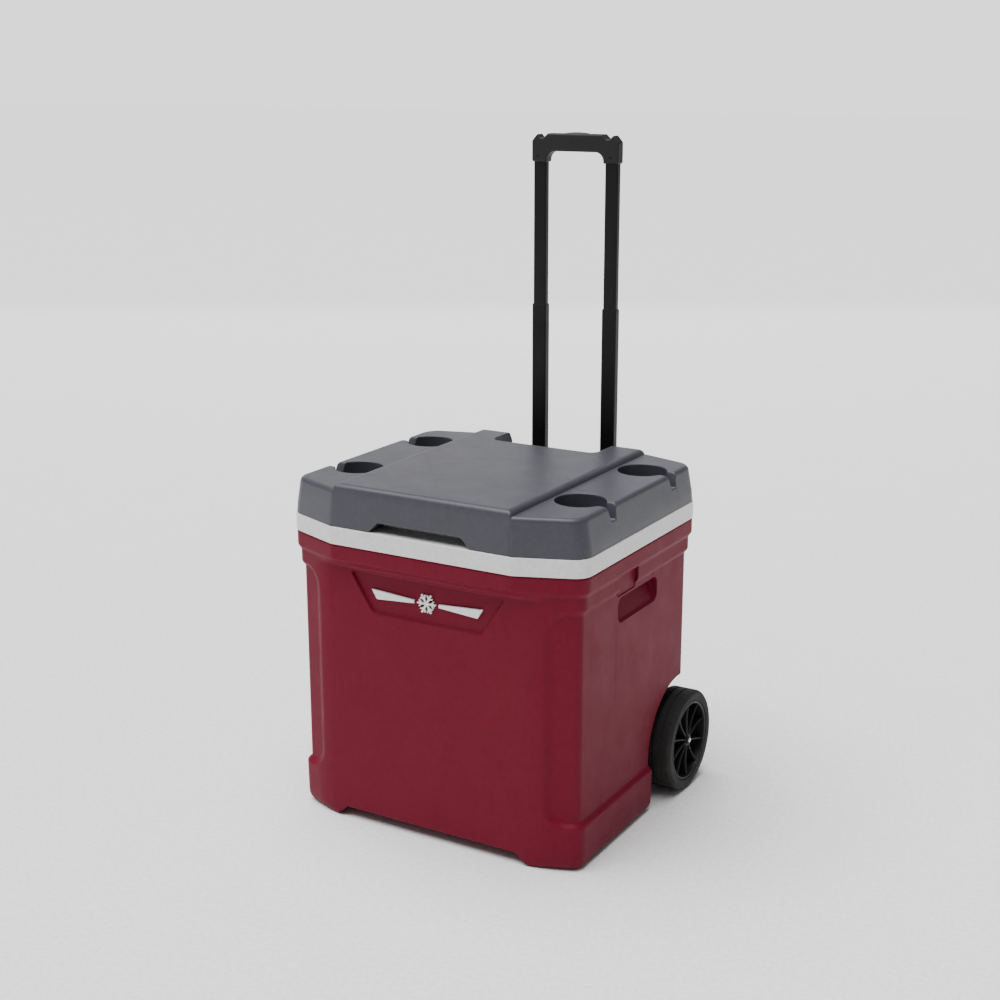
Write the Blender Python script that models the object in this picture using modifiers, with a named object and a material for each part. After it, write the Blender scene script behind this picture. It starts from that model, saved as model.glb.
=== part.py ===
"""Rolling cooler: insulated box, hinged lid, two-stage pull handle and two wheels.

All sizes are millimetres and become metres when a mesh is made. +Z is up, the
front faces -Y and the handle stands behind the box. Z = 0 is the floor.
"""
import math

import bmesh
import bpy
from mathutils import Matrix, Vector

MM = 0.001
GAP = 0.3                  # air left between two solids that touch

# Plan of the white rim band: an octagon that is cut back at front and rear.
BAND_HALF = 235.2
FACET_HALF = 144.0
FRONT_Y = -228.0
FRONT_CORNER_Y = -192.5
REAR_CORNER_Y = 156.5
REAR_Y = 184.0
CORNER_RADIUS = 25.0
FOLD_RADIUS = 12.0

# Heights.
SHELL_TOP = 419.0
BAND_TOP = 444.8
LID_BOTTOM = BAND_TOP + GAP
LINER_TOP = LID_BOTTOM + 4
LID_SIDE_TOP = 497.5
LID_TOP = 505.0
FOOT_HEIGHT = 16.0

# Outer shell: flat front and rear walls, and the inset of each course.
FRONT_WALL_Y = -210.0
REAR_WALL_Y = 169.0
RIM_INSET = 1.0
SHOULDER_INSET = 5.8
WALL_INSET = 10.9
SKIRT_INSET = 4.3
CORNER_STEP_X = 184.0
SHELL_WALL = 3.8

# Wheels and axle.
WHEEL_Y = 133.0
WHEEL_RADIUS = 76.2
RIM_RADIUS = 60.0
WHEEL_OUTER_X = 247.0
TYRE_WIDTH = 45.0
ARCH_RADIUS = 99.0
WELL_X = 195.0
AXLE_RADIUS = 4.0
HUB_RADIUS = 9.0
RIB_COUNT = 10

# Food compartment.
TUB_HALF = 185.0
TUB_FRONT = -178.0
TUB_REAR = 140.0
TUB_REAR_LOW = 112.0
TUB_FLOOR = 52.0
TUB_STEP = 118.0
TUB_WALL = 2.5

# Handle.
POST_X = 59.8
POST_Y = 215.5
OUTER_TUBE = (27.2, 17.6)
OUTER_BORE = (24.2, 14.0)
LOWER_TUBE = (24.0, 13.8)
LOWER_BORE = (21.4, 11.8)
UPPER_TUBE = (21.2, 11.6)
UPPER_BORE = (18.8, 9.2)
OUTER_TUBE_Z = (114.3, 457.0)
LOWER_TUBE_Z = (382.0, 702.0)
UPPER_TUBE_Z = (644.0, 930.7)
GRIP_BOTTOM = 916.0
GRIP_TOP = 958.0
GRIP_DEPTH = 19.0
BUTTON_TOP = 960.0

# Lid hinge.
HINGE_Y = 189.5
HINGE_Z = 441.0
HINGE_X = (100.0, 136.0)
KNUCKLE_X = (112.0, 124.0)
KNUCKLE_RADIUS = 4.5
PIN_RADIUS = 1.5

# Cup holders and lid pocket.
CUP_X = 180.0
CUP_YS = (-105.5, 84.0)
CUP_RADIUS = 35.0
CUP_FLOOR = 473.0
POCKET_HALF = 88.5
POCKET_FRONT = 114.0
POCKET_FLOOR = 461.0
NOTCH_REAR = -190.0
LID_WALL = 3.0

SIDES = (("left", -1), ("right", 1))

BODY_ORIGINS = {
    "cooler": (0.0, 0.0, 0.0),
    "lid": (0.0, HINGE_Y, HINGE_Z),
    "handle_lower": (0.0, POST_Y, LOWER_TUBE_Z[0]),
    "handle_upper": (0.0, POST_Y, UPPER_TUBE_Z[0]),
    "release": (0.0, POST_Y, BUTTON_TOP),
    "wheel_left": (-WHEEL_OUTER_X + TYRE_WIDTH / 2, WHEEL_Y, WHEEL_RADIUS),
    "wheel_right": (WHEEL_OUTER_X - TYRE_WIDTH / 2, WHEEL_Y, WHEEL_RADIUS),
}


# ---------------------------------------------------------------- scene set-up

for old in list(bpy.data.objects):
    bpy.data.objects.remove(old, do_unlink=True)

parts = bpy.data.collections.new("rolling_cooler")
cutters = bpy.data.collections.new("cutters")
bpy.context.scene.collection.children.link(parts)
bpy.context.scene.collection.children.link(cutters)


def add_empty(name, place):
    empty = bpy.data.objects.new(name, None)
    empty.location = Vector(place) * MM
    parts.objects.link(empty)
    return empty


BODIES = {name: add_empty("body_" + name, place) for name, place in BODY_ORIGINS.items()}


def make_material(name, colour, roughness, metallic=0.0):
    material = bpy.data.materials.new(name)
    material.use_nodes = True
    shader = material.node_tree.nodes["Principled BSDF"]
    shader.inputs["Base Color"].default_value = (*colour, 1.0)
    shader.inputs["Roughness"].default_value = roughness
    shader.inputs["Metallic"].default_value = metallic
    return material


RED = make_material("red_shell", (0.28, 0.018, 0.035), 0.45)
WHITE = make_material("white_liner", (0.66, 0.66, 0.65), 0.4)
GREY = make_material("grey_lid", (0.13, 0.135, 0.15), 0.5)
FOAM = make_material("foam", (0.75, 0.68, 0.45), 0.9)
BLACK = make_material("black_plastic", (0.02, 0.02, 0.021), 0.5)
PAINTED = make_material("black_steel", (0.012, 0.012, 0.013), 0.35, 0.3)
RUBBER = make_material("tyre_rubber", (0.03, 0.03, 0.03), 0.8)
STEEL = make_material("bright_steel", (0.6, 0.6, 0.6), 0.25, 1.0)
BADGE = make_material("badge_grey", (0.55, 0.56, 0.57), 0.4)


# ---------------------------------------------------------------- outlines

def offset_outline(points, distances):
    """Move each edge of a counter-clockwise outline inwards by its own distance."""
    count = len(points)
    lines = []
    for index in range(count):
        start = Vector(points[index])
        along = (Vector(points[(index + 1) % count]) - start).normalized()
        inward = Vector((-along.y, along.x))
        lines.append((start + inward * distances[index], along))
    moved = []
    for index in range(count):
        (p, u), (q, v) = lines[index - 1], lines[index]
        step = (q - p).cross(v) / u.cross(v)
        moved.append(p + u * step)
    return moved


def round_outline(points, radii, segments):
    """Replace each corner with an arc of its own radius; a radius of 0 stays sharp."""
    result = []
    count = len(points)
    for index in range(count):
        corner = Vector(points[index])
        radius = radii[index]
        if radius == 0:
            result.append(corner)
            continue
        back = (Vector(points[index - 1]) - corner).normalized()
        ahead = (Vector(points[(index + 1) % count]) - corner).normalized()
        half_angle = back.angle(ahead) / 2
        reach = radius / math.tan(half_angle)
        centre = corner + (back + ahead).normalized() * radius / math.sin(half_angle)
        first = corner + back * reach - centre
        turn = first.angle_signed(corner + ahead * reach - centre)
        for step in range(segments + 1):
            result.append(centre + Matrix.Rotation(-turn * step / segments, 2) @ first)
    return result


def rim_outline(front=0.0, front_fold=0.0, side=0.0, rear_fold=0.0, rear=0.0, segments=4):
    """Plan of the box, each wall set in from the rim band by its own distance."""
    right = [(FACET_HALF, FRONT_Y), (BAND_HALF, FRONT_CORNER_Y),
             (BAND_HALF, REAR_CORNER_Y), (FACET_HALF, REAR_Y)]
    left = [(-x, y) for x, y in reversed(right)]
    insets = [front_fold, side, rear_fold, rear, rear_fold, side, front_fold, front]
    outline = offset_outline(right + left, insets)
    radii = [FOLD_RADIUS, CORNER_RADIUS, CORNER_RADIUS, FOLD_RADIUS] * 2
    return round_outline(outline, radii, segments)


def even_outline(inset):
    return rim_outline(inset, inset, inset, inset, inset)


def rectangle(x0, x1, y0, y1, radius=0.0, segments=4):
    corners = [(x0, y0), (x1, y0), (x1, y1), (x0, y1)]
    if radius == 0:
        return [Vector(corner) for corner in corners]
    return round_outline(corners, [radius] * 4, segments)


# ---------------------------------------------------------------- solids

# Outlines are drawn in two axes and run along the third.
ALONG = {
    "Z": lambda u, v, w: Vector((u, v, w)),
    "Y": lambda u, v, w: Vector((u, w, v)),
    "X": lambda u, v, w: Vector((w, u, v)),
}


def loft(courses, axis="Z"):
    """Solid through (outline, height) courses: one face, extruded and reshaped."""
    place = ALONG[axis]
    solid = bmesh.new()
    outline, height = courses[0]
    loop = [solid.verts.new(place(u, v, height) * MM) for u, v in outline]
    solid.faces.new(loop)
    face = solid.faces[:][0]
    for course, (outline, height) in enumerate(courses[1:]):
        where = {tuple(round(c, 9) for c in vert.co): index for index, vert in enumerate(loop)}
        made = bmesh.ops.extrude_face_region(solid, geom=[face])["geom"]
        if course > 0:
            bmesh.ops.delete(solid, geom=[face], context="FACES_ONLY")
        face = next(item for item in made if isinstance(item, bmesh.types.BMFace))
        loop = sorted(face.verts, key=lambda v: where[tuple(round(c, 9) for c in v.co)])
        for vert, (u, v) in zip(loop, outline):
            vert.co = place(u, v, height) * MM
    bmesh.ops.recalc_face_normals(solid, faces=solid.faces)
    return solid


def prism(outline, low, high, axis="Z"):
    return loft([(outline, low), (outline, high)], axis)


def block(x0, x1, y0, y1, z0, z1):
    solid = bmesh.new()
    size = Matrix.Diagonal(((x1 - x0) * MM, (y1 - y0) * MM, (z1 - z0) * MM, 1.0))
    centre = Vector((x0 + x1, y0 + y1, z0 + z1)) * MM / 2
    bmesh.ops.create_cube(solid, size=1.0, matrix=Matrix.Translation(centre) @ size)
    return solid


TURN = {
    "Z": Matrix.Identity(4),
    "Y": Matrix.Rotation(math.pi / 2, 4, "X"),
    "X": Matrix.Rotation(math.pi / 2, 4, "Y"),
}


def cylinder(centre, radius, length, axis="Z", segments=32):
    solid = bmesh.new()
    bmesh.ops.create_cone(
        solid, cap_ends=True, segments=segments, radius1=radius * MM, radius2=radius * MM,
        depth=length * MM, matrix=Matrix.Translation(Vector(centre) * MM) @ TURN[axis])
    return solid


def together(*solids):
    """One mesh that holds several separate closed bodies, for use as a cutter."""
    joined = bmesh.new()
    for solid in solids:
        mesh = bpy.data.meshes.new("piece")
        solid.to_mesh(mesh)
        solid.free()
        joined.from_mesh(mesh)
        bpy.data.meshes.remove(mesh)
    return joined


def mirrored(solid):
    """The solid and its mirror image across X = 0, for use as a cutter."""
    twin = solid.copy()
    bmesh.ops.scale(twin, vec=(-1, 1, 1), verts=twin.verts)
    bmesh.ops.reverse_faces(twin, faces=twin.faces)
    return together(solid, twin)


def add_object(name, solid, collection):
    mesh = bpy.data.meshes.new(name)
    solid.to_mesh(mesh)
    solid.free()
    made = bpy.data.objects.new(name, mesh)
    collection.objects.link(made)
    return made


def add_part(name, solid, body, material):
    """Named sub-part whose origin is its body's joint."""
    origin = Vector(BODY_ORIGINS[body]) * MM
    bmesh.ops.translate(solid, vec=-origin, verts=solid.verts)
    made = add_object(name, solid, parts)
    made.parent = BODIES[body]
    made.data.materials.append(material)
    return made


def add_cutter(name, solid):
    made = add_object("cut_" + name, solid, cutters)
    made.hide_render = True
    made.display_type = "WIRE"
    return made


def combine(target, other, operation="DIFFERENCE"):
    modifier = target.modifiers.new(operation.lower(), "BOOLEAN")
    modifier.operation = operation
    modifier.solver = "EXACT"
    modifier.object = other
    return target


def cut(target, name, solid):
    return combine(target, add_cutter(name, solid))


def weld(target, name, solid):
    return combine(target, add_cutter(name, solid), "UNION")


def bevel(target, width, segments=2, angle=30.0):
    modifier = target.modifiers.new("bevel", "BEVEL")
    modifier.width = width * MM
    modifier.segments = segments
    modifier.limit_method = "ANGLE"
    modifier.angle_limit = math.radians(angle)
    return target


# ---------------------------------------------------------------- insulated box

SCOOP_Y = (-76.0, 48.0)
SCOOP_Z = (321.0, 357.0)
SCOOP_TOP_X = 205.0
SCOOP_BOTTOM_X = 221.0
CAVITY_INSET = 17.0
CAVITY_FRONT = -201.0
CAVITY_REAR = 165.0
CAVITY_FLOOR = 17.0
BRACKET_SCREW_X = 20.0
BRACKET_SCREW_Z = {"upper": 360.0, "lower": 120.0}
SCREW_RADIUS = 2.2


def tub_block(grow, name):
    """The food compartment, with a step over the axle, grown by a wall thickness."""
    front, rear, rear_low = TUB_FRONT - grow, TUB_REAR + grow, TUB_REAR_LOW + grow
    floor, step = TUB_FLOOR - grow, TUB_STEP - grow
    top = BAND_TOP + 20
    side = [(front, floor), (rear_low, floor), (rear_low, step), (rear, step),
            (rear, top), (front, top)]
    half = TUB_HALF + grow
    base = add_cutter(name, prism([Vector(p) for p in side], -half, half, "X"))
    plan = rectangle(-half - 1, half + 1, front - 1, rear + 1, 32 + grow)
    return combine(base, add_cutter(name + "_plan", prism(plan, floor - 5, top + 5)), "INTERSECT")


def hollow_block(target, name, slack):
    """Cut the room for wells, scoops and flat walls out of a prism of the box plan."""
    lean = SHELL_WALL + slack
    walls = together(
        block(-260, 260, -260, CAVITY_FRONT + slack, 0, 450),
        block(-260, 260, CAVITY_REAR - slack, 260, 0, 450))
    cut(target, name + "_walls", walls)
    well = block(WELL_X - lean, 260, WHEEL_Y - ARCH_RADIUS - lean, 260,
                 0, WHEEL_RADIUS + ARCH_RADIUS + lean)
    cut(target, name + "_wells", mirrored(well))
    cut(target, name + "_scoops", scoop_block(lean))
    return target


def scoop_block(slack):
    """Finger scoop: a pocket that is deepest at the top, with a sloping floor."""
    low, high = SCOOP_Z
    scoop = prism(rectangle(SCOOP_Y[0] - slack, SCOOP_Y[1] + slack, low - slack, high + slack, 12),
                  200, 250, "X")
    for vert in scoop.verts:
        if vert.co.x < 225 * MM:
            share = (vert.co.z / MM - low) / (high - low)
            vert.co.x = (SCOOP_BOTTOM_X + (SCOOP_TOP_X - SCOOP_BOTTOM_X) * share - slack) * MM
    return mirrored(scoop)


def shell_hollow():
    plan = even_outline(CAVITY_INSET)
    base = add_cutter("shell_hollow", prism(plan, CAVITY_FLOOR, SHELL_TOP + 5))
    return hollow_block(base, "hollow", 0.0)


def corner_recess():
    """Room outside the side walls, between shoulder and skirt, past the corner step."""
    front_view = rectangle(CORNER_STEP_X, 270, 66, 371, 26, 4)
    outer = add_cutter("corner_recess", mirrored(prism(front_view, -240, 260, "Y")))
    core = loft([(even_outline(2), 54), (even_outline(SKIRT_INSET - 1), 65),
                 (even_outline(WALL_INSET - 1.4), 80), (even_outline(WALL_INSET), 353),
                 (even_outline(SHOULDER_INSET - 1), 368), (even_outline(2), 382)])
    return combine(outer, add_cutter("corner_core", core))


def outer_shell():
    courses = [(17.0, 0), (10.5, 3.5), (5.6, 12), (SKIRT_INSET, 60), (SHOULDER_INSET, 368),
               (SHOULDER_INSET, 391), (RIM_INSET, 397), (RIM_INSET, SHELL_TOP)]
    shell = add_part("outer_shell", loft([(even_outline(i), z) for i, z in courses]),
                     "cooler", RED)
    front = [(-260, -5), (FRONT_WALL_Y, -5), (FRONT_WALL_Y, 388), (-232, 398), (-260, 398)]
    rear = [(REAR_WALL_Y, -5), (260, -5), (260, 398), (188, 398), (REAR_WALL_Y, 388)]
    cut(shell, "front_wall", prism([Vector(p) for p in front], -260, 260, "X"))
    cut(shell, "rear_wall", prism([Vector(p) for p in rear], -260, 260, "X"))
    combine(shell, corner_recess())
    panel = round_outline([(-87, 323), (87, 323), (124, 380), (-124, 380)], [14, 14, 3, 3], 4)
    cut(shell, "badge_panel", prism(panel, -240, FRONT_WALL_Y + 4.5, "Y"))
    underside = [(-161, -2), (161, -2), (141, FOOT_HEIGHT), (-141, FOOT_HEIGHT)]
    cut(shell, "underside", prism([Vector(p) for p in underside], -260, 260, "Y"))
    arch = cylinder((WELL_X + 35, WHEEL_Y, WHEEL_RADIUS), ARCH_RADIUS, 70, "X", 48)
    behind = block(WELL_X, WELL_X + 70, WHEEL_Y - ARCH_RADIUS, 260, -5, WHEEL_RADIUS)
    cut(shell, "arches", mirrored(arch))
    cut(shell, "arch_legs", mirrored(behind))
    cut(shell, "scoops", scoop_block(0.0))
    notch = prism(rectangle(-78, -25, 361, 392, 5), BAND_HALF - SHOULDER_INSET - 6, 250, "X")
    cut(shell, "notches", mirrored(notch))
    combine(shell, shell_hollow())
    cut(shell, "shell_axle_bore", cylinder((0, WHEEL_Y, WHEEL_RADIUS), AXLE_RADIUS + GAP, 420, "X"))
    holes = [cylinder((x, REAR_WALL_Y, z), SCREW_RADIUS + GAP, 30, "Y", 16)
             for x in (-BRACKET_SCREW_X, BRACKET_SCREW_X) for z in BRACKET_SCREW_Z.values()]
    cut(shell, "shell_screw_holes", together(*holes))
    return shell


def foam_core():
    plan = even_outline(CAVITY_INSET + GAP)
    foam = add_part("foam_core", prism(plan, CAVITY_FLOOR + GAP, SHELL_TOP - GAP), "cooler", FOAM)
    hollow_block(foam, "foam", GAP)
    combine(foam, tub_block(TUB_WALL + GAP, "foam_tub"))
    cut(foam, "foam_axle_bore",
        cylinder((0, WHEEL_Y, WHEEL_RADIUS), AXLE_RADIUS + GAP, 420, "X"))
    holes = [cylinder((x, REAR_WALL_Y, z), SCREW_RADIUS + GAP, 30, "Y", 16)
             for x in (-BRACKET_SCREW_X, BRACKET_SCREW_X) for z in BRACKET_SCREW_Z.values()]
    cut(foam, "foam_screw_holes", together(*holes))
    return foam


def inner_liner():
    band = prism(even_outline(0.0), SHELL_TOP + GAP, BAND_TOP)
    liner = add_part("inner_liner", band, "cooler", WHITE)
    tub = tub_block(TUB_WALL, "tub_outer")
    trim = block(-300, 300, -300, 300, BAND_TOP - 8, BAND_TOP + 40)
    combine(tub, add_cutter("tub_trim", trim))
    combine(liner, tub, "UNION")
    combine(liner, tub_block(0.0, "tub_room"))
    return liner


def front_badge():
    """A plain snow crystal between two tapered bars, with no lettering."""
    y0 = FRONT_WALL_Y + 4.5 - GAP
    arms = [Matrix.Rotation(math.radians(60 * k), 4, "Y") for k in range(3)]
    centre = Matrix.Translation(Vector((0, 0, 351)) * MM)
    face = (y0 - 3.2, y0)
    first = prism(rectangle(-15, 15, -2.6, 2.6), *face, "Y")
    bmesh.ops.transform(first, matrix=centre, verts=first.verts)
    badge = add_part("front_badge", first, "cooler", BADGE)
    for index, turn in enumerate(arms[1:]):
        arm = prism(rectangle(-15, 15, -2.6, 2.6), *face, "Y")
        bmesh.ops.transform(arm, matrix=centre @ turn, verts=arm.verts)
        weld(badge, "badge_arm_%d" % index, arm)
    for side, sign in SIDES:
        bar = [(sign * 12, 349.4), (sign * 84, 347.2), (sign * 90, 354.8), (sign * 12, 352.6)]
        outline = bar if sign > 0 else bar[::-1]
        weld(badge, "badge_bar_" + side, prism([Vector(p) for p in outline], *face, "Y"))
    return badge


# ---------------------------------------------------------------- lid

def lid_plan(front, fold, side, rear):
    return rim_outline(front, fold, side, rear, rear)


def lid_room(slack):
    """Loft of the room inside the lid skin, below the cups."""
    low = lid_plan(4 + slack, 5 + slack, 6 + slack, 6 + slack)
    high = lid_plan(6 + slack, 7 + slack, 9.5 + slack, 8 + slack)
    return loft([(low, LID_BOTTOM - 3), (high, CUP_FLOOR - LID_WALL - slack)])


def lid_hollow(target, name, slack):
    """Add the raised panel to the lid's room, and keep it clear of pocket and notch."""
    wall = LID_WALL + slack
    panel = block(-133 + slack, 133 - slack, -213 + slack, POCKET_FRONT - wall,
                  CUP_FLOOR - wall - 8, LID_TOP - wall)
    weld(target, name + "_panel", panel)
    pocket = block(-POCKET_HALF - wall, POCKET_HALF + wall, POCKET_FRONT - wall + 0.1, 220,
                   POCKET_FLOOR - wall, 520)
    cut(target, name + "_pocket", pocket)
    notch = block(-84 - wall, 84 + wall, -240, NOTCH_REAR + wall, 433, 459.5 + wall)
    cut(target, name + "_notch", notch)
    return target


def lid_shell():
    courses = [((0.8, 0.8, 0.8, 2.0), LID_BOTTOM), ((1.6, 1.8, 1.9, 3.0), 460.0),
               ((3.2, 4.0, 8.6, 5.0), 490.0), ((5.0, 6.0, 11.0, 7.0), 494.0),
               ((9.0, 10.0, 15.5, 11.0), LID_SIDE_TOP)]
    shell = add_part("lid_shell", loft([(lid_plan(*insets), z) for insets, z in courses]),
                     "lid", GREY)
    panel = loft([(rectangle(-142, 142, -224.6, 176), 475), (rectangle(-141, 141, -224, 173), 497.5),
                  (rectangle(-135, 135, -216, 166), LID_TOP)])
    weld(shell, "lid_panel", panel)
    room = add_cutter("lid_room", lid_room(0.0))
    combine(shell, lid_hollow(room, "lid_room", 0.0))
    pocket = rectangle(-POCKET_HALF, POCKET_HALF, POCKET_FRONT, 260, 14)
    cut(shell, "lid_pocket", prism(pocket, POCKET_FLOOR, 520))
    notch = [(-84, 441), (84, 441), (66, 459.5), (-66, 459.5)]
    cut(shell, "finger_notch", prism([Vector(p) for p in notch], -260, NOTCH_REAR, "Y"))
    cups = [cylinder((CUP_X, y, CUP_FLOOR + 25), CUP_RADIUS, 50, "Z", 40) for y in CUP_YS]
    cut(shell, "cups", mirrored(together(*cups)))
    drains = [prism([Vector(p) for p in ((y - 6.5, CUP_FLOOR), (y + 6.5, CUP_FLOOR),
                                         (y + 14, 500), (y - 14, 500))], CUP_X + 10, 260, "X")
              for y in CUP_YS]
    cut(shell, "cup_drains", mirrored(together(*drains)))
    return shell


def lid_foam():
    foam = add_part("lid_foam", lid_room(GAP), "lid", FOAM)
    lid_hollow(foam, "lid_foam", GAP)
    return cut(foam, "lid_foam_floor", block(-300, 300, -300, 300, 400, LINER_TOP + GAP))


def lid_liner():
    plate = lid_plan(6, 7, 8, 8)
    liner = add_part("lid_liner", prism(plate, LID_BOTTOM, LINER_TOP), "lid", WHITE)
    plug = loft([(rectangle(-178, 178, -170, 128, 26), 432), (rectangle(-181, 181, -173, 131, 28), 436),
                 (rectangle(-181, 181, -173, 131, 28), LID_BOTTOM + 2)])
    weld(liner, "lid_plug", plug)
    cut(liner, "liner_notch", block(-88, 88, -240, NOTCH_REAR + LID_WALL + 1, 430, 470))
    return liner


def hinge(side, sign):
    x0, x1 = HINGE_X
    k0, k1 = KNUCKLE_X

    def span(a, b):
        return (a, b) if sign > 0 else (-b, -a)

    def barrel(a, b):
        a, b = span(a, b)
        return cylinder(((a + b) / 2, HINGE_Y, HINGE_Z), KNUCKLE_RADIUS, b - a, "X", 24)

    def bore():
        a, b = span(x0 - 2, x1 + 2)
        return cylinder(((a + b) / 2, HINGE_Y, HINGE_Z), PIN_RADIUS + 0.06, b - a, "X", 24)

    plate = block(*span(x0, x1), REAR_Y + GAP, REAR_Y + 2.3, 422, 435)
    body_leaf = add_part("hinge_body_leaf_" + side, plate, "cooler", STEEL)
    for index, (a, b) in enumerate(((x0, k0 - GAP), (k1 + GAP, x1))):
        name = "hinge_body_%s_%d" % (side, index)
        weld(body_leaf, name + "_tab", block(*span(a, b), REAR_Y + GAP, REAR_Y + 2.3, 433, HINGE_Z))
        weld(body_leaf, name + "_barrel", barrel(a, b))
    cut(body_leaf, "hinge_body_bore_" + side, bore())

    plate = block(*span(x0, x1), 182.3, 184.3, 447, 461)
    lid_leaf = add_part("hinge_lid_leaf_" + side, plate, "lid", STEEL)
    arm = [(182.3, 445.4), (185.2, 445.4), (185.2, 441), (193.8, 441), (193.8, 447),
           (186, 453), (182.3, 453)]
    weld(lid_leaf, "hinge_arm_" + side, prism([Vector(p) for p in arm], *span(k0, k1), "X"))
    weld(lid_leaf, "hinge_lid_barrel_" + side, barrel(k0, k1))
    cut(lid_leaf, "hinge_lid_bore_" + side, bore())

    a, b = span(x0, x1)
    pin = cylinder(((a + b) / 2, HINGE_Y, HINGE_Z), PIN_RADIUS, b - a, "X", 24)
    add_part("hinge_pin_" + side, pin, "cooler", STEEL)


# ---------------------------------------------------------------- wheels

def turned(name, profile, body, material, steps=48):
    """Solid of revolution about X from a closed (axial, radial) profile."""
    flat = bmesh.new()
    loop = [flat.verts.new(Vector((a, r, 0)) * MM) for a, r in profile]
    for index in range(len(loop)):
        flat.edges.new((loop[index - 1], loop[index]))
    made = add_object(name, flat, parts)
    made.parent = BODIES[body]
    made.data.materials.append(material)
    screw = made.modifiers.new("screw", "SCREW")
    screw.axis = "X"
    screw.steps = steps
    screw.render_steps = steps
    screw.use_merge_vertices = True
    screw.merge_threshold = 0.00001
    screw.use_normal_calculate = True
    return made


def wheel(side, sign):
    body = "wheel_" + side
    half = TYRE_WIDTH / 2
    shoulder = 6.0
    tyre = [(-half, RIM_RADIUS + GAP), (-half, WHEEL_RADIUS - shoulder),
            (-half + 2, WHEEL_RADIUS - 2), (-half + shoulder, WHEEL_RADIUS),
            (half - shoulder, WHEEL_RADIUS), (half - 2, WHEEL_RADIUS - 2),
            (half, WHEEL_RADIUS - shoulder), (half, RIM_RADIUS + GAP)]
    turned("tyre_" + side, tyre, body, RUBBER)

    out = 1 if sign > 0 else -1
    bore = AXLE_RADIUS + 0.08
    rim = [(-half + 0.3, bore), (-half + 0.3, HUB_RADIUS + 2), (-12, HUB_RADIUS + 4),
           (-12, RIM_RADIUS - 5), (-half + 2, RIM_RADIUS - 4), (-half + 2, RIM_RADIUS),
           (half - 2, RIM_RADIUS), (half - 2, RIM_RADIUS - 4), (-8, RIM_RADIUS - 6),
           (-8, HUB_RADIUS + 2), (half - 4, HUB_RADIUS), (half - 4, bore)]
    profile = [(out * a, r) for a, r in rim]
    made = turned("wheel_rim_" + side, profile if out > 0 else profile[::-1], body, BLACK)
    edge = [(half - 5, HUB_RADIUS - 2), (half - 6, 14), (half - 9, 24), (half - 10, 36),
            (half - 8, 48), (half - 4, RIM_RADIUS - 2)]
    outline = [(-9, HUB_RADIUS - 2), (-9, RIM_RADIUS - 2)] + edge[::-1]
    for index in range(RIB_COUNT):
        rib = prism([Vector((r, out * a)) for a, r in outline], -1.3, 1.3, "Z")
        turn = Matrix.Rotation(math.tau * (index + 0.5) / RIB_COUNT, 4, "X")
        swap = Matrix(((0, 1, 0, 0), (1, 0, 0, 0), (0, 0, 1, 0), (0, 0, 0, 1)))
        bmesh.ops.transform(rib, matrix=turn @ swap, verts=rib.verts)
        bmesh.ops.recalc_face_normals(rib, faces=rib.faces)
        cutter = add_cutter("rib_%s_%d" % (side, index), rib)
        cutter.parent = BODIES[body]
        combine(made, cutter, "UNION")


def axle():
    end = WHEEL_OUTER_X - 0.5
    rod = cylinder((0, WHEEL_Y, WHEEL_RADIUS), AXLE_RADIUS, 2 * end, "X")
    add_part("wheel_axle", rod, "cooler", STEEL)
    for side, sign in SIDES:
        inner = WHEEL_OUTER_X - TYRE_WIDTH
        place = (sign * (WELL_X + GAP + inner) / 2, WHEEL_Y, WHEEL_RADIUS)
        spacer = cylinder(place, 8, inner - WELL_X - GAP - 0.2, "X")
        made = add_part("axle_spacer_" + side, spacer, "cooler", BLACK)
        cut(made, "spacer_bore_" + side, cylinder(place, AXLE_RADIUS + GAP, 30, "X"))
        place = (sign * (WHEEL_OUTER_X - 2.6), WHEEL_Y, WHEEL_RADIUS)
        nut = cylinder(place, 7, 1.8, "X")
        made = add_part("push_nut_" + side, nut, "cooler", PAINTED)
        cut(made, "nut_bore_" + side, cylinder(place, AXLE_RADIUS + GAP, 10, "X"))


# ---------------------------------------------------------------- handle

def tube(name, size, bore, span, x, body):
    def outline(extent, radius):
        return rectangle(x - extent[0] / 2, x + extent[0] / 2,
                         POST_Y - extent[1] / 2, POST_Y + extent[1] / 2, radius, 3)

    made = add_part(name, prism(outline(size, 2.6), *span), body, PAINTED)
    return cut(made, name + "_bore", prism(outline(bore, 2.0), span[0] - 5, span[1] + 5))


def guide(name, size, top, x, body):
    outline = rectangle(x - size[0] / 2, x + size[0] / 2,
                        POST_Y - size[1] / 2, POST_Y + size[1] / 2, 2.0, 3)
    return add_part(name, prism(outline, top - 18, top - GAP), body, BLACK)


def posts(side, sign):
    x = sign * POST_X
    tube("handle_outer_tube_" + side, OUTER_TUBE, OUTER_BORE, OUTER_TUBE_Z, x, "cooler")
    tube("handle_lower_tube_" + side, LOWER_TUBE, LOWER_BORE, LOWER_TUBE_Z, x, "handle_lower")
    tube("handle_upper_tube_" + side, UPPER_TUBE, UPPER_BORE, UPPER_TUBE_Z, x, "handle_upper")
    guide("lower_guide_" + side, (OUTER_BORE[0] - 0.4, OUTER_BORE[1] - 0.4),
          LOWER_TUBE_Z[0], x, "handle_lower")
    guide("lock_block_" + side, (LOWER_BORE[0] - 0.4, LOWER_BORE[1] - 0.4),
          UPPER_TUBE_Z[0], x, "handle_upper")


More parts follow.
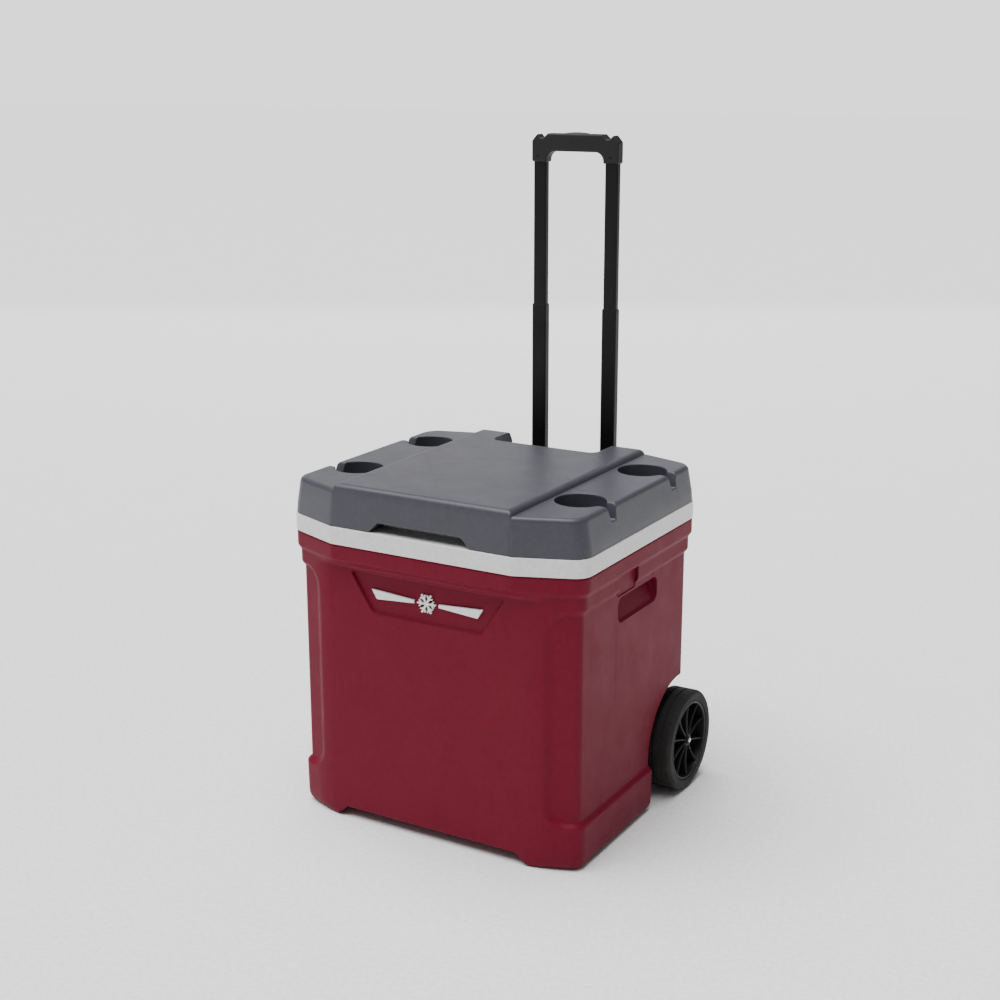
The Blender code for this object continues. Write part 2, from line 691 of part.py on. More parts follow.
def bracket(name, low, high, socket_floor, screw_z):
    """Wall plate with two arms that hold the outer tubes."""
    plate = block(-80, 80, REAR_WALL_Y + GAP, REAR_WALL_Y + 5, low, high)
    made = add_part(name, plate, "cooler", BLACK)
    for side, sign in SIDES:
        arm = prism(rectangle(sign * POST_X - 16.5, sign * POST_X + 16.5,
                              REAR_WALL_Y + 3, POST_Y + 12.5, 3), low + 6, high - 6)
        weld(made, "%s_arm_%s" % (name, side), arm)
    sockets = [block(sign * POST_X - OUTER_TUBE[0] / 2 - GAP, sign * POST_X + OUTER_TUBE[0] / 2 + GAP,
                     POST_Y - OUTER_TUBE[1] / 2 - GAP, POST_Y + OUTER_TUBE[1] / 2 + GAP,
                     socket_floor, high + 10) for side, sign in SIDES]
    cut(made, name + "_sockets", together(*sockets))
    holes = [cylinder((x, REAR_WALL_Y, screw_z), SCREW_RADIUS + GAP, 30, "Y", 16)
             for x in (-BRACKET_SCREW_X, BRACKET_SCREW_X)]
    cut(made, name + "_holes", together(*holes))
    for side, sign in SIDES:
        head_y = REAR_WALL_Y + 5 + GAP
        x = sign * BRACKET_SCREW_X
        head = cylinder((x, head_y + 1.25, screw_z), 4.5, 2.5, "Y", 24)
        screw = add_part("%s_screw_%s" % (name, side), head, "cooler", STEEL)
        shank = cylinder((x, head_y - 8, screw_z), SCREW_RADIUS, 18, "Y", 16)
        weld(screw, "%s_shank_%s" % (name, side), shank)


def grip_outline():
    """Front view of the grip: legs, a finger opening and a notch each side of the bar."""
    right = [(72.3, GRIP_BOTTOM, 3), (72.3, GRIP_TOP - 7.5, 4), (67.5, GRIP_TOP - 1, 3),
             (62.5, GRIP_TOP - 1, 0), (55.5, GRIP_TOP - 7.5, 4), (47, GRIP_TOP, 3)]
    left = [(-x, z, r) for x, z, r in reversed(right)]
    opening = [(-47, GRIP_BOTTOM, 2), (-47, 932, 13), (47, 932, 13), (47, GRIP_BOTTOM, 2)]
    corners = right + left + opening
    return round_outline([(x, z) for x, z, r in corners], [r for x, z, r in corners], 4)


def grip_room():
    """Everything the grip leaves open: button well, yoke slot, rod holes, tube sockets."""
    well = prism(rectangle(-22.4, 22.4, POST_Y - 7.4, POST_Y + 7.4, 5.4), 940, 975)
    slot = block(-62.8, 62.8, POST_Y - 3.6, POST_Y + 3.6, 935, 946)
    room = add_cutter("grip_room", well)
    weld(room, "grip_slot", slot)
    for side, sign in SIDES:
        x = sign * POST_X
        hole = cylinder((x, POST_Y, 930), 2.8, 14, "Z", 20)
        weld(room, "grip_rod_hole_" + side, hole)
        socket = rectangle(x - UPPER_TUBE[0] / 2 - GAP, x + UPPER_TUBE[0] / 2 + GAP,
                           POST_Y - UPPER_TUBE[1] / 2 - GAP, POST_Y + UPPER_TUBE[1] / 2 + GAP, 2.6, 3)
        weld(room, "grip_socket_" + side, prism(socket, 905, UPPER_TUBE_Z[1] + GAP))
    return room


def grip():
    room = grip_room()
    y0, y1 = POST_Y - GRIP_DEPTH / 2, POST_Y + GRIP_DEPTH / 2
    halves = (("grip_front", block(-100, 100, POST_Y - GAP / 2, 300, 850, 1000)),
              ("grip_rear", block(-100, 100, 150, POST_Y + GAP / 2, 850, 1000)))
    for name, other_half in halves:
        made = add_part(name, prism(grip_outline(), y0, y1, "Y"), "handle_upper", BLACK)
        bevel(made, 1.4, 2, 60)
        combine(made, room)
        cut(made, name + "_split", other_half)


def release():
    outline = rectangle(-22, 22, POST_Y - 7, POST_Y + 7, 5)
    crown = rectangle(-19, 19, POST_Y - 5, POST_Y + 5, 3.8)
    button = loft([(outline, 945), (outline, BUTTON_TOP - 2), (crown, BUTTON_TOP)])
    add_part("release_button", button, "release", BLACK)
    bar = block(-62, 62, POST_Y - 3, POST_Y + 3, 939.7, 944.7)
    yoke = add_part("release_yoke", bar, "release", STEEL)
    for side, sign in SIDES:
        rod = cylinder((sign * POST_X, POST_Y, (648 + 943) / 2), 2.0, 943 - 648, "Z", 16)
        weld(yoke, "release_rod_" + side, rod)


# ---------------------------------------------------------------- assembly

outer_shell()
foam_core()
inner_liner()
front_badge()
lid_shell()
lid_foam()
lid_liner()
axle()
for side_name, side_sign in SIDES:
    hinge(side_name, side_sign)
    wheel(side_name, side_sign)
    posts(side_name, side_sign)
bracket("upper_bracket", 338, 388, 303, BRACKET_SCREW_Z["upper"])
bracket("lower_bracket", 95, 145, OUTER_TUBE_Z[0] - GAP, BRACKET_SCREW_Z["lower"])
grip()
release()
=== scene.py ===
"""Looks of the rolling cooler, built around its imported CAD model.

Places and sizes come from the CAD nodes' boxes and from the values below.
Lengths are millimetres and become metres through MM. The lights, the camera,
the floor and values marked so are in metres. X runs to the right, Y to the
back and Z up.
"""
import math

import bmesh
import bpy
from mathutils import Matrix, Vector


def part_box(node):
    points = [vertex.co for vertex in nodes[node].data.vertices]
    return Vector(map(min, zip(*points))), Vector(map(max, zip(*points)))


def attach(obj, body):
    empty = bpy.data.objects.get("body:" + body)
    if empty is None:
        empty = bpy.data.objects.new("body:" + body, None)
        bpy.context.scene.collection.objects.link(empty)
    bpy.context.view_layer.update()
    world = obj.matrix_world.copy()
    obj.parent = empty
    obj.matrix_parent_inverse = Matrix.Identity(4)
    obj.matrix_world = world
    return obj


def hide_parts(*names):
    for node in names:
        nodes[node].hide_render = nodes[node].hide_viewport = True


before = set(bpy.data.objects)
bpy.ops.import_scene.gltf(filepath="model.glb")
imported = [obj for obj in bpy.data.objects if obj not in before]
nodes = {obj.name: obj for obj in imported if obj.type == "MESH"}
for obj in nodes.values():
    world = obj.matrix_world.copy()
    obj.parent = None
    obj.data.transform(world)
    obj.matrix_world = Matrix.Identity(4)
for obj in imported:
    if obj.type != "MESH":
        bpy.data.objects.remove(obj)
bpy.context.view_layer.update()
scene = bpy.context.scene

MM = 0.001
SIDES = (("left", -1), ("right", 1))


def span(node, axis):
    """Lowest and highest coordinate of a CAD node on one axis, in millimetres."""
    low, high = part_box(node)
    index = "XYZ".index(axis)
    return low[index] / MM, high[index] / MM


def centre_and_half(node):
    """Centre and half sizes of a CAD node's box, in millimetres."""
    spans = [span(node, axis) for axis in "XYZ"]
    centre = Vector([(low + high) / 2 for low, high in spans])
    return centre, [(high - low) / 2 for low, high in spans]


# ---------------------------------------------------------------- materials

DUST_TOP = 0.10                        # metres over the floor, where the film ends
DUST_COLOUR = (0.42, 0.38, 0.33)


def add_node(tree, kind, **values):
    """Add a shader node; keyword values go to its properties or its inputs."""
    node = tree.nodes.new(kind)
    for key, value in values.items():
        if key in node.inputs:
            node.inputs[key].default_value = value
        else:
            setattr(node, key, value)
    return node


def ramp(tree, source, stops):
    """Colour ramp over a value; stops are (position, grey or colour)."""
    node = tree.nodes.new("ShaderNodeValToRGB")
    elements = node.color_ramp.elements
    while len(elements) < len(stops):
        elements.new(0.5)
    for element, (position, colour) in zip(elements, stops):
        element.position = position
        if not isinstance(colour, tuple):
            colour = (colour, colour, colour)
        element.color = (*colour, 1.0)
    tree.links.new(source, node.inputs["Fac"])
    return node.outputs["Color"]


def noise_value(tree, place, scale, detail, roughness, stretch=None):
    """Value of a noise texture over the piece, stretched on each axis if asked."""
    source = place
    if stretch:
        mapping = add_node(tree, "ShaderNodeMapping")
        mapping.inputs["Scale"].default_value = stretch
        tree.links.new(place, mapping.inputs["Vector"])
        source = mapping.outputs["Vector"]
    node = add_node(tree, "ShaderNodeTexNoise", Scale=scale, Detail=detail, Roughness=roughness)
    tree.links.new(source, node.inputs["Vector"])
    return node.outputs["Fac"]


def blend_colour(tree, factor, a, b, mode="MIX"):
    """Mix node on colours; factor, a and b are sockets or plain values."""
    node = tree.nodes.new("ShaderNodeMix")
    node.data_type = "RGBA"
    node.blend_type = mode
    for socket, value in ((node.inputs[0], factor), (node.inputs[6], a), (node.inputs[7], b)):
        if isinstance(value, bpy.types.NodeSocket):
            tree.links.new(value, socket)
        elif isinstance(value, tuple):
            socket.default_value = (*value, 1.0)
        else:
            socket.default_value = value
    return node.outputs[2]


def finish(name, colour, dull, roughness, grain, depth, metallic=0.0, specular=0.5,
           grain_scale=900.0, streaks=0.0, dust=0.0):
    """A moulded or painted finish.

    colour is the main colour and dull the same surface where it is duller;
    roughness is (low, high); grain is the strength of the fine texture and depth
    its height in millimetres; streaks adds fine handling marks and dust a paler
    film near the floor.
    """
    material = bpy.data.materials.new(name)
    material.use_nodes = True
    tree = material.node_tree
    shader = tree.nodes["Principled BSDF"]
    place = add_node(tree, "ShaderNodeTexCoord").outputs["Object"]

    cloud = noise_value(tree, place, 7.0, 5.0, 0.6)
    mottle = noise_value(tree, place, 140.0, 3.0, 0.5)
    fine = noise_value(tree, place, grain_scale, 2.0, 0.5)
    tone = ramp(tree, cloud, ((0.35, 0.0), (0.7, 1.0)))
    base = blend_colour(tree, tone, colour, dull)
    speck = ramp(tree, mottle, ((0.35, 0.94), (0.65, 1.05)))
    base = blend_colour(tree, 1.0, base, speck, "MULTIPLY")
    if dust:
        position = add_node(tree, "ShaderNodeSeparateXYZ")
        tree.links.new(place, position.inputs[0])
        low = add_node(tree, "ShaderNodeMapRange", clamp=True)
        low.inputs["From Min"].default_value = DUST_TOP
        low.inputs["From Max"].default_value = 0.0
        tree.links.new(position.outputs["Z"], low.inputs["Value"])
        patch = ramp(tree, noise_value(tree, place, 35.0, 6.0, 0.65), ((0.4, 0.0), (0.75, dust)))
        film = blend_colour(tree, 1.0, low.outputs["Result"], patch, "MULTIPLY")
        base = blend_colour(tree, film, base, DUST_COLOUR)
    tree.links.new(base, shader.inputs["Base Color"])

    gloss = ramp(tree, noise_value(tree, place, 22.0, 6.0, 0.6),
                 ((0.3, roughness[0]), (0.7, roughness[1])))
    if streaks:
        marks = noise_value(tree, place, 60.0, 3.0, 0.6, (1.0, 1.0, 0.06))
        marks = ramp(tree, marks, ((0.62, 0.0), (0.7, streaks)))
        gloss = blend_colour(tree, 1.0, gloss, marks, "ADD")
    tree.links.new(gloss, shader.inputs["Roughness"])

    bump = add_node(tree, "ShaderNodeBump", Strength=grain, Distance=depth * MM)
    tree.links.new(fine, bump.inputs["Height"])
    tree.links.new(bump.outputs["Normal"], shader.inputs["Normal"])
    shader.inputs["Metallic"].default_value = metallic
    shader.inputs["Specular IOR Level"].default_value = specular
    return material


RED = finish("red_moulding", (0.133, 0.0036, 0.0172), (0.126, 0.0034, 0.0163), (0.48, 0.58),
             0.35, 0.10, specular=0.12, streaks=0.08)
WHITE = finish("white_moulding", (0.66, 0.65, 0.645), (0.62, 0.615, 0.61), (0.34, 0.46),
               0.2, 0.08)
GREY = finish("grey_moulding", (0.046, 0.046, 0.058), (0.043, 0.043, 0.054), (0.38, 0.45),
              0.45, 0.14, specular=0.36, streaks=0.06)
BLACK = finish("black_moulding", (0.012, 0.012, 0.0125), (0.010, 0.010, 0.0105), (0.45, 0.6),
               0.5, 0.16, specular=0.25)
PAINT = finish("black_paint", (0.0045, 0.0045, 0.005), (0.006, 0.006, 0.0065), (0.3, 0.42),
               0.25, 0.10, specular=0.16, streaks=0.12, grain_scale=600.0)
RUBBER = finish("tyre_rubber", (0.012, 0.0115, 0.0115), (0.017, 0.0165, 0.016), (0.62, 0.8),
                0.6, 0.25, specular=0.25, dust=0.12)
RIM = finish("rim_moulding", (0.008, 0.008, 0.0085), (0.0065, 0.0065, 0.007), (0.38, 0.5),
             0.3, 0.12, specular=0.3)
STEEL = finish("zinc_steel", (0.62, 0.62, 0.60), (0.52, 0.53, 0.54), (0.24, 0.4),
               0.25, 0.06, metallic=1.0, streaks=0.15)
FOAM = finish("yellow_foam", (0.76, 0.66, 0.38), (0.70, 0.60, 0.34), (0.8, 0.95), 0.9, 0.8,
              grain_scale=260.0)
BADGE = finish("badge_silver", (0.78, 0.78, 0.79), (0.70, 0.70, 0.71), (0.28, 0.38), 0.15, 0.05)


# ---------------------------------------------------------------- mesh helpers

SAME_PLACE = 0.00002                   # metres, corners closer than this are one


def arc(centre, radius, start, stop, steps):
    """Points on an arc, angles in degrees, both ends included."""
    points = []
    for index in range(steps + 1):
        angle = math.radians(start + (stop - start) * index / steps)
        points.append(Vector((centre[0] + radius * math.cos(angle),
                              centre[1] + radius * math.sin(angle))))
    return points


def round_outline(corners, steps=8):
    """Closed outline from (u, v, radius) corners, each turned into an arc."""
    points = []
    count = len(corners)
    for index, (u, v, radius) in enumerate(corners):
        corner = Vector((u, v))
        if radius == 0:
            points.append(corner)
            continue
        before = Vector(corners[index - 1][:2])
        after = Vector(corners[(index + 1) % count][:2])
        back, ahead = (before - corner).normalized(), (after - corner).normalized()
        half = back.angle(ahead) / 2
        reach = radius / math.tan(half)
        centre = corner + (back + ahead).normalized() * radius / math.sin(half)
        first = corner + back * reach - centre
        turn = first.angle_signed(corner + ahead * reach - centre)
        for step in range(steps + 1):
            spot = first.copy()
            spot.rotate(Matrix.Rotation(-turn * step / steps, 2))
            points.append(centre + spot)
    return points


def rounded_box(half_u, half_v, radius, centre=(0, 0), steps=6):
    """Outline of a rectangle with one corner radius."""
    u, v = centre
    corners = [(u - half_u, v - half_v, radius), (u + half_u, v - half_v, radius),
               (u + half_u, v + half_v, radius), (u - half_u, v + half_v, radius)]
    return round_outline(corners, steps)


def stack(rings, closed=True):
    """Skin between equal-length rings of points; the first and last are capped."""
    mesh = bmesh.new()
    loops = [[mesh.verts.new(Vector(p) * MM) for p in ring] for ring in rings]
    count = len(loops[0])
    for lower, upper in zip(loops, loops[1:]):
        for index in range(count):
            after = (index + 1) % count
            mesh.faces.new((lower[index], lower[after], upper[after], upper[index]))
    if closed:
        mesh.faces.new(loops[0][::-1])
        mesh.faces.new(loops[-1])
    else:
        lower, upper = loops[-1], loops[0]
        for index in range(count):
            after = (index + 1) % count
            mesh.faces.new((lower[index], lower[after], upper[after], upper[index]))
    bmesh.ops.recalc_face_normals(mesh, faces=mesh.faces)
    return mesh


def merge(meshes):
    """Join bmeshes into one without cutting them; they are used up."""
    whole = bmesh.new()
    for mesh in meshes:
        data = bpy.data.meshes.new("part")
        mesh.to_mesh(data)
        mesh.free()
        whole.from_mesh(data)
        bpy.data.meshes.remove(data)
    return whole


def shade(mesh, angle):
    """Smooth faces with a sharp edge wherever the surface turns by more than angle."""
    for face in mesh.faces:
        face.smooth = True
    for edge in mesh.edges:
        edge.smooth = edge.is_manifold and edge.calc_face_angle(0.0) < math.radians(angle)


def add_piece(name, mesh, material, body, replaced, angle=38.0, weighted=True):
    """Turn a bmesh into a piece that rides on a body and stands for CAD nodes."""
    bmesh.ops.recalc_face_normals(mesh, faces=mesh.faces)
    shade(mesh, angle)
    data = bpy.data.meshes.new(name)
    mesh.to_mesh(data)
    mesh.free()
    piece = bpy.data.objects.new(name, data)
    scene.collection.objects.link(piece)
    data.materials.append(material)
    if weighted:
        modifier = piece.modifiers.new("normals", "WEIGHTED_NORMAL")
        modifier.keep_sharp = True
        modifier.weight = 80
    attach(piece, body)
    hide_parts(*replaced)


def flatten(mesh, angle):
    """Join neighbouring faces that lie within angle degrees of one plane."""
    bmesh.ops.dissolve_limit(mesh, angle_limit=math.radians(angle), verts=mesh.verts,
                             edges=mesh.edges)


def clean_copy(node):
    """The CAD node's mesh with shared corners and whole flat faces."""
    mesh = bmesh.new()
    mesh.from_mesh(nodes[node].data)
    bmesh.ops.remove_doubles(mesh, verts=mesh.verts, dist=SAME_PLACE)
    flatten(mesh, 0.6)
    return mesh


def round_edges(mesh, width, angle=24.0, segments=3, where=None):
    """Round each edge that turns by more than angle and that where() accepts."""
    limit = math.radians(angle)
    chosen = []
    for edge in mesh.edges:
        if not edge.is_manifold or edge.calc_face_angle(0.0) < limit:
            continue
        middle = (edge.verts[0].co + edge.verts[1].co) / 2 / MM
        if where is None or where(middle):
            chosen.append(edge)
    bmesh.ops.bevel(mesh, geom=chosen, offset=width * MM, offset_type="OFFSET",
                    segments=segments, profile=0.5, affect="EDGES", clamp_overlap=False)
    return mesh


def dress(node, material):
    """Give a CAD node that stays visible its finished material."""
    slots = nodes[node].data.materials
    slots.clear()
    slots.append(material)


def move_sides(points, distances):
    """Corners of a counter-clockwise outline once each side has moved inwards.

    Gives (corner, bend) pairs, where bend is positive on an outer corner.
    """
    lines = []
    for index, point in enumerate(points):
        start = Vector(point)
        along = (Vector(points[(index + 1) % len(points)]) - start).normalized()
        lines.append((start + Vector((-along.y, along.x)) * distances[index], along))
    moved = []
    for index in range(len(points)):
        (p, before), (q, after) = lines[index - 1], lines[index]
        bend = before.cross(after)
        moved.append((p + before * ((q - p).cross(after) / bend), bend))
    return moved


def inset_corners(corners, distance):
    """Move a counter-clockwise (u, v, radius) outline inwards by one distance."""
    points = [corner[:2] for corner in corners]
    inset = []
    for (spot, bend), (_, _, radius) in zip(move_sides(points, [distance] * len(points)), corners):
        radius = radius - distance if bend > 0 else radius + distance
        inset.append((spot.x, spot.y, max(radius, 0.25)))
    return inset


def slab(corners, low, high, edge, steps=5):
    """Plate drawn in the front view between two Y values, its edges rounded off."""
    turns = [math.pi / 2 * index / steps for index in range(steps + 1)]
    levels = [(1 - math.sin(turn), low + edge * (1 - math.cos(turn))) for turn in turns]
    levels += [(1 - math.cos(turn), high - edge * (1 - math.sin(turn))) for turn in turns]
    rings = []
    for share, y in levels:
        outline = round_outline(inset_corners(corners, edge * share), steps)
        rings.append([(p.x, y, p.y) for p in outline])
    return stack(rings)


def box(x0, x1, y0, y1, z0, z1):
    """Plain block between its lowest and highest X, Y and Z."""
    return stack([[(x0, y0, z), (x1, y0, z), (x1, y1, z), (x0, y1, z)] for z in (z0, z1)])


def tube(x0, x1, centre, radius, steps):
    """Solid cylinder along X; centre is (y, z)."""
    return stack([[(x, p.x, p.y) for p in arc(centre, radius, 0, 360 - 360 / steps, steps - 1)]
                  for x in (x0, x1)])


def column(outline, z0, z1):
    """Upright bar between two heights with a plan of (x, y) points."""
    return stack([[(x, y, z) for x, y in outline] for z in (z0, z1)])


def bar_along_y(outline, y0, y1):
    """Bar between two Y values with a front-view outline of (x, z) points."""
    return stack([[(x, y, z) for x, z in outline] for y in (y0, y1)])


def turned(profile, centre, sign, steps=96):
    """Closed ring of revolution about X from (axial, radial) points."""
    rings = []
    for index in range(steps):
        angle = math.tau * index / steps
        rings.append([(centre[0] + sign * a, centre[1] + r * math.cos(angle),
                       centre[2] + r * math.sin(angle)) for a, r in profile])
    mesh = bmesh.new()
    loops = [[mesh.verts.new(Vector(p) * MM) for p in ring] for ring in rings]
    count = len(profile)
    for index in range(steps):
        here, there = loops[index], loops[(index + 1) % steps]
        for point in range(count):
            after = (point + 1) % count
            mesh.faces.new((here[point], here[after], there[after], there[point]))
    bmesh.ops.recalc_face_normals(mesh, faces=mesh.faces)
    return mesh


def combine(base, tool, operation):
    """Exact boolean of two bmeshes; both are used up and the result is new."""
    objects = []
    for mesh in (base, tool):
        bmesh.ops.recalc_face_normals(mesh, faces=mesh.faces)
        data = bpy.data.meshes.new("operand")
        mesh.to_mesh(data)
        mesh.free()
        thing = bpy.data.objects.new("operand", data)
        scene.collection.objects.link(thing)
        objects.append(thing)
    modifier = objects[0].modifiers.new("boolean", "BOOLEAN")
    modifier.operation = operation
    modifier.solver = "EXACT"
    modifier.object = objects[1]
    bpy.context.view_layer.update()
    result = bmesh.new()
    result.from_object(objects[0], bpy.context.evaluated_depsgraph_get())
    for thing in objects:
        data = thing.data
        bpy.data.objects.remove(thing)
        bpy.data.meshes.remove(data)
    return result


def cut(base, tool):
    """Take tool away from base."""
    return combine(base, tool, "DIFFERENCE")


def weld(base, tool):
    """Fuse tool with base."""
    return combine(base, tool, "UNION")


# ---------------------------------------------------------------- red shell

# Plan of the rim band, and the flat walls that cut it back at front and rear.
FOLD_X = 144.0
FOLD_RADIUS = 20.0
FRONT_CORNER_Y = -192.5
REAR_CORNER_Y = 156.5
CORNER_RADIUS = 25.0
FRONT_WALL = ((382, -210.0), (385, -210.8), (387.5, -212.6), (390, -215.8), (393, -221.0),
              (398, -232.0), (402, -250.0))
REAR_WALL = ((382, 169.0), (385, 169.8), (387.5, 171.5), (390, 174.4), (393, 179.0),
             (398, 188.0), (402, 206.0))
FOLD_BLEND = 8.0

# Inset of the shell from the rim band at each height, outside the corner recesses.
COURSES = ((0, 17.0), (1.2, 13.4), (3.5, 10.0), (7, 7.3), (12, 5.4), (20, 4.9), (60, 4.3),
           (368, 5.8), (389, 5.8), (391, 5.4), (393, 4.3), (395, 2.8), (397, 1.5), (399, 1.0),
           (417, 1.0), (418.5, 1.25), (419, 1.9))
RECESS_INSET = 10.9
RECESS_X = 186.5
RECESS_Z = (67.0, 369.0)
RECESS_RADIUS = 27.0
RECESS_EDGE = (9.0, 17.0)      # width of the soft edge at top and bottom, and at the side
AXLE = (133.0, 76.2)
ARCH_RADIUS = 99.0
WELL_X = 195.0
OUTSIDE = 260.0                        # beyond the shell on any side
SCOOP_OUT = 250.0                      # outer ends of the tools for the scoops
WELL_OUT = 265.0                       # and for the wheel wells
SKIN = 3.8

# Main panel and the gap between the feet, as front views.
PANEL_OUTLINE = ((-87, 323, 14), (87, 323, 14), (124, 380, 3), (-124, 380, 3))
PANEL_Y = (-240, -205.5)               # in front of the wall, and the panel's face
FOOT_GAP = ((-161, -2), (161, -2), (141, 16), (-141, 16))
# Side scoops: middle and half sizes as (y, z), floor at the lower and upper edge.
SCOOP_MIDDLE = (-14, 339)
SCOOP_HALF = (62, 18)
SCOOP_RADIUS = 12
SCOOP_FLOOR_X = (221, 205)
TAB_FACE_X = 223.4                     # flat patch cut in the shoulder over each scoop
TAB_Y = (-78, -25)
TAB_Z = (361, 392)
# Room inside: inset from the band, height, and the flat walls at front and rear.
ROOM_INSET = 17
ROOM_Z = (17, 424)
ROOM_Y = (-201, 165)
AXLE_HOLE_RADIUS = 4.3
SCREW_HOLE_RADIUS = 2.5
SCREW_HOLES = ((-20, 120), (-20, 360), (20, 120), (20, 360))   # (x, z) on the back
SCREW_HOLE_Y = (150, 180)


def level(stops, z):
    """Value at height z on a line through (height, value) stops."""
    if z <= stops[0][0]:
        return stops[0][1]
    for (low, before), (high, after) in zip(stops, stops[1:]):
        if z <= high:
            return before + (after - before) * (z - low) / (high - low)
    return stops[-1][1]


def band_corners():
    """Corners (x, y) of the rim band's plan, counter-clockwise from the front right fold."""
    half = span("inner_liner", "X")[1]
    front, rear = span("inner_liner", "Y")
    corners = [(FOLD_X, front), (half, FRONT_CORNER_Y), (half, REAR_CORNER_Y), (FOLD_X, rear)]
    return corners + [(-x, y) for x, y in reversed(corners)]


def band_path(spacing=None):
    """Plan of the rim band as (point, outward direction) pairs.

    spacing, when given, is the distance between extra points along the facets.
    """
    corners = band_corners()
    path = []
    for index, (x, y) in enumerate(corners):
        fold = abs(x) == FOLD_X
        radius = FOLD_RADIUS if fold else CORNER_RADIUS
        corner = Vector((x, y))
        back = (Vector(corners[index - 1]) - corner).normalized()
        ahead = (Vector(corners[(index + 1) % len(corners)]) - corner).normalized()
        half_angle = back.angle(ahead) / 2
        centre = corner + (back + ahead).normalized() * radius / math.sin(half_angle)
        first = corner + back * radius / math.tan(half_angle) - centre
        last = corner + ahead * radius / math.tan(half_angle) - centre
        on_facet = index % 2 == 1
        if spacing and on_facet:
            start, outward = path[-1]
            count = int((centre + first - start).length / spacing)
            for step in range(1, count):
                path.append((start.lerp(centre + first, step / count), outward))
        steps = 4 if fold else 12
        turn = first.angle_signed(last)
        for step in range(steps + 1):
            spot = Matrix.Rotation(-turn * step / steps, 2) @ first
            path.append((centre + spot, spot.normalized()))
    return path


def recess_share(x, z):
    """0 outside a corner recess, 1 inside it, easing over its soft edge."""
    u = abs(x) - RECESS_X
    v = min(z - RECESS_Z[0], RECESS_Z[1] - z)
    to_u, to_v = RECESS_RADIUS - u, RECESS_RADIUS - v
    if to_u > 0 and to_v > 0:
        depth = RECESS_RADIUS - math.hypot(to_u, to_v)
        sideways = to_u ** 2 / (to_u ** 2 + to_v ** 2)
    else:
        depth = min(u, v)
        sideways = 1.0 if u < v else 0.0
    width = RECESS_EDGE[0] + (RECESS_EDGE[1] - RECESS_EDGE[0]) * sideways
    share = min(max(depth / width + 0.5, 0.0), 1.0)
    return share * share * (3 - 2 * share)


def soft_limit(value, limit):
    """The larger of two values, blended where they are close."""
    overlap = max(FOLD_BLEND - abs(value - limit), 0.0) / FOLD_BLEND
    return max(value, limit) + overlap * overlap * FOLD_BLEND / 4


def skin_point(point, outward, z):
    """Point on the shell's outside at height z, from the rim band's plan."""
    inset = level(COURSES, z)
    place = point - outward * inset
    inset += (RECESS_INSET - inset) * recess_share(place.x, z)
    place = point - outward * inset
    if place.y < 0:
        y = soft_limit(place.y, level(FRONT_WALL, z))
    else:
        y = -soft_limit(-place.y, -level(REAR_WALL, z))
    return (place.x, y, z)


def skin():
    """Outside of the shell: walls, soft folds, corner recesses and shoulder."""
    heights = [0, 0.5, 1.2, 2.2, 3.5, 5, 7, 9.5, 12, 20, 56, 408, 417, 418, 418.5, 419]
    for start, gap, count in ((60, 1.4, 28), (334, 1.4, 33), (380, 1, 21)):
        heights += [start + gap * step for step in range(count)]
    path = band_path(1.7)
    return stack([[skin_point(point, outward, z) for point, outward in path]
                  for z in sorted(set(heights))])


def scoop(sign, grow=0.0):
    """Finger scoop: deepest under the shoulder, running out towards its lower edge."""
    half_y, half_z = SCOOP_HALF
    low, deep = SCOOP_FLOOR_X
    bottom = SCOOP_MIDDLE[1] - half_z
    rings = []
    for shrink, lift in ((4.0, 0.0), (1.4, 1.1), (0.0, 3.6), (0.0, None)):
        outline = rounded_box(half_y + grow - shrink, half_z + grow - shrink,
                              SCOOP_RADIUS - shrink * 0.8, SCOOP_MIDDLE, 6)
        ring = []
        for p in outline:
            floor = low - (low - deep) * (p.y - bottom) / (2 * half_z) - grow
            ring.append((sign * (SCOOP_OUT if lift is None else floor + lift), p.x, p.y))
        rings.append(ring)
    return stack(rings)


def side_box(sign, inner_x, outer_x, *faces):
    """Box between two distances from the middle plane; faces are y0, y1, z0, z1."""
    return box(*sorted((sign * inner_x, sign * outer_x)), *faces)


def cavity():
    """Room for the foam core and the food tub."""
    room = column([point - outward * ROOM_INSET for point, outward in band_path()], *ROOM_Z)
    front, rear = ROOM_Y
    room = cut(room, merge([box(-OUTSIDE, OUTSIDE, -OUTSIDE, front, 0, 440),
                            box(-OUTSIDE, OUTSIDE, rear, OUTSIDE, 0, 440)]))
    y, z = AXLE
    for sign in (-1, 1):
        well = side_box(sign, WELL_X - SKIN, OUTSIDE, y - ARCH_RADIUS - SKIN, 200,
                        0, z + ARCH_RADIUS + SKIN)
        room = cut(room, merge([well, scoop(sign, SKIN)]))
    return room


def by_scoop(spot):
    """True round a side scoop and the flat patch above it."""
    return abs(spot.x) > 200 and -84 < spot.y < 54 and 315 < spot.z < 394


def unseen(spot):
    """True in the room inside and round the axle's hole, where edges stay sharp."""
    in_well = abs(spot.x) > 190 and spot.y > 28 and spot.z < 182
    near_axle = math.hypot(spot.y - AXLE[0], spot.z - AXLE[1]) < 14
    inside = abs(spot.x) < 217.5 and -202.5 < spot.y < 166 and spot.z > 16.5
    return near_axle or (inside and not in_well and not by_scoop(spot))


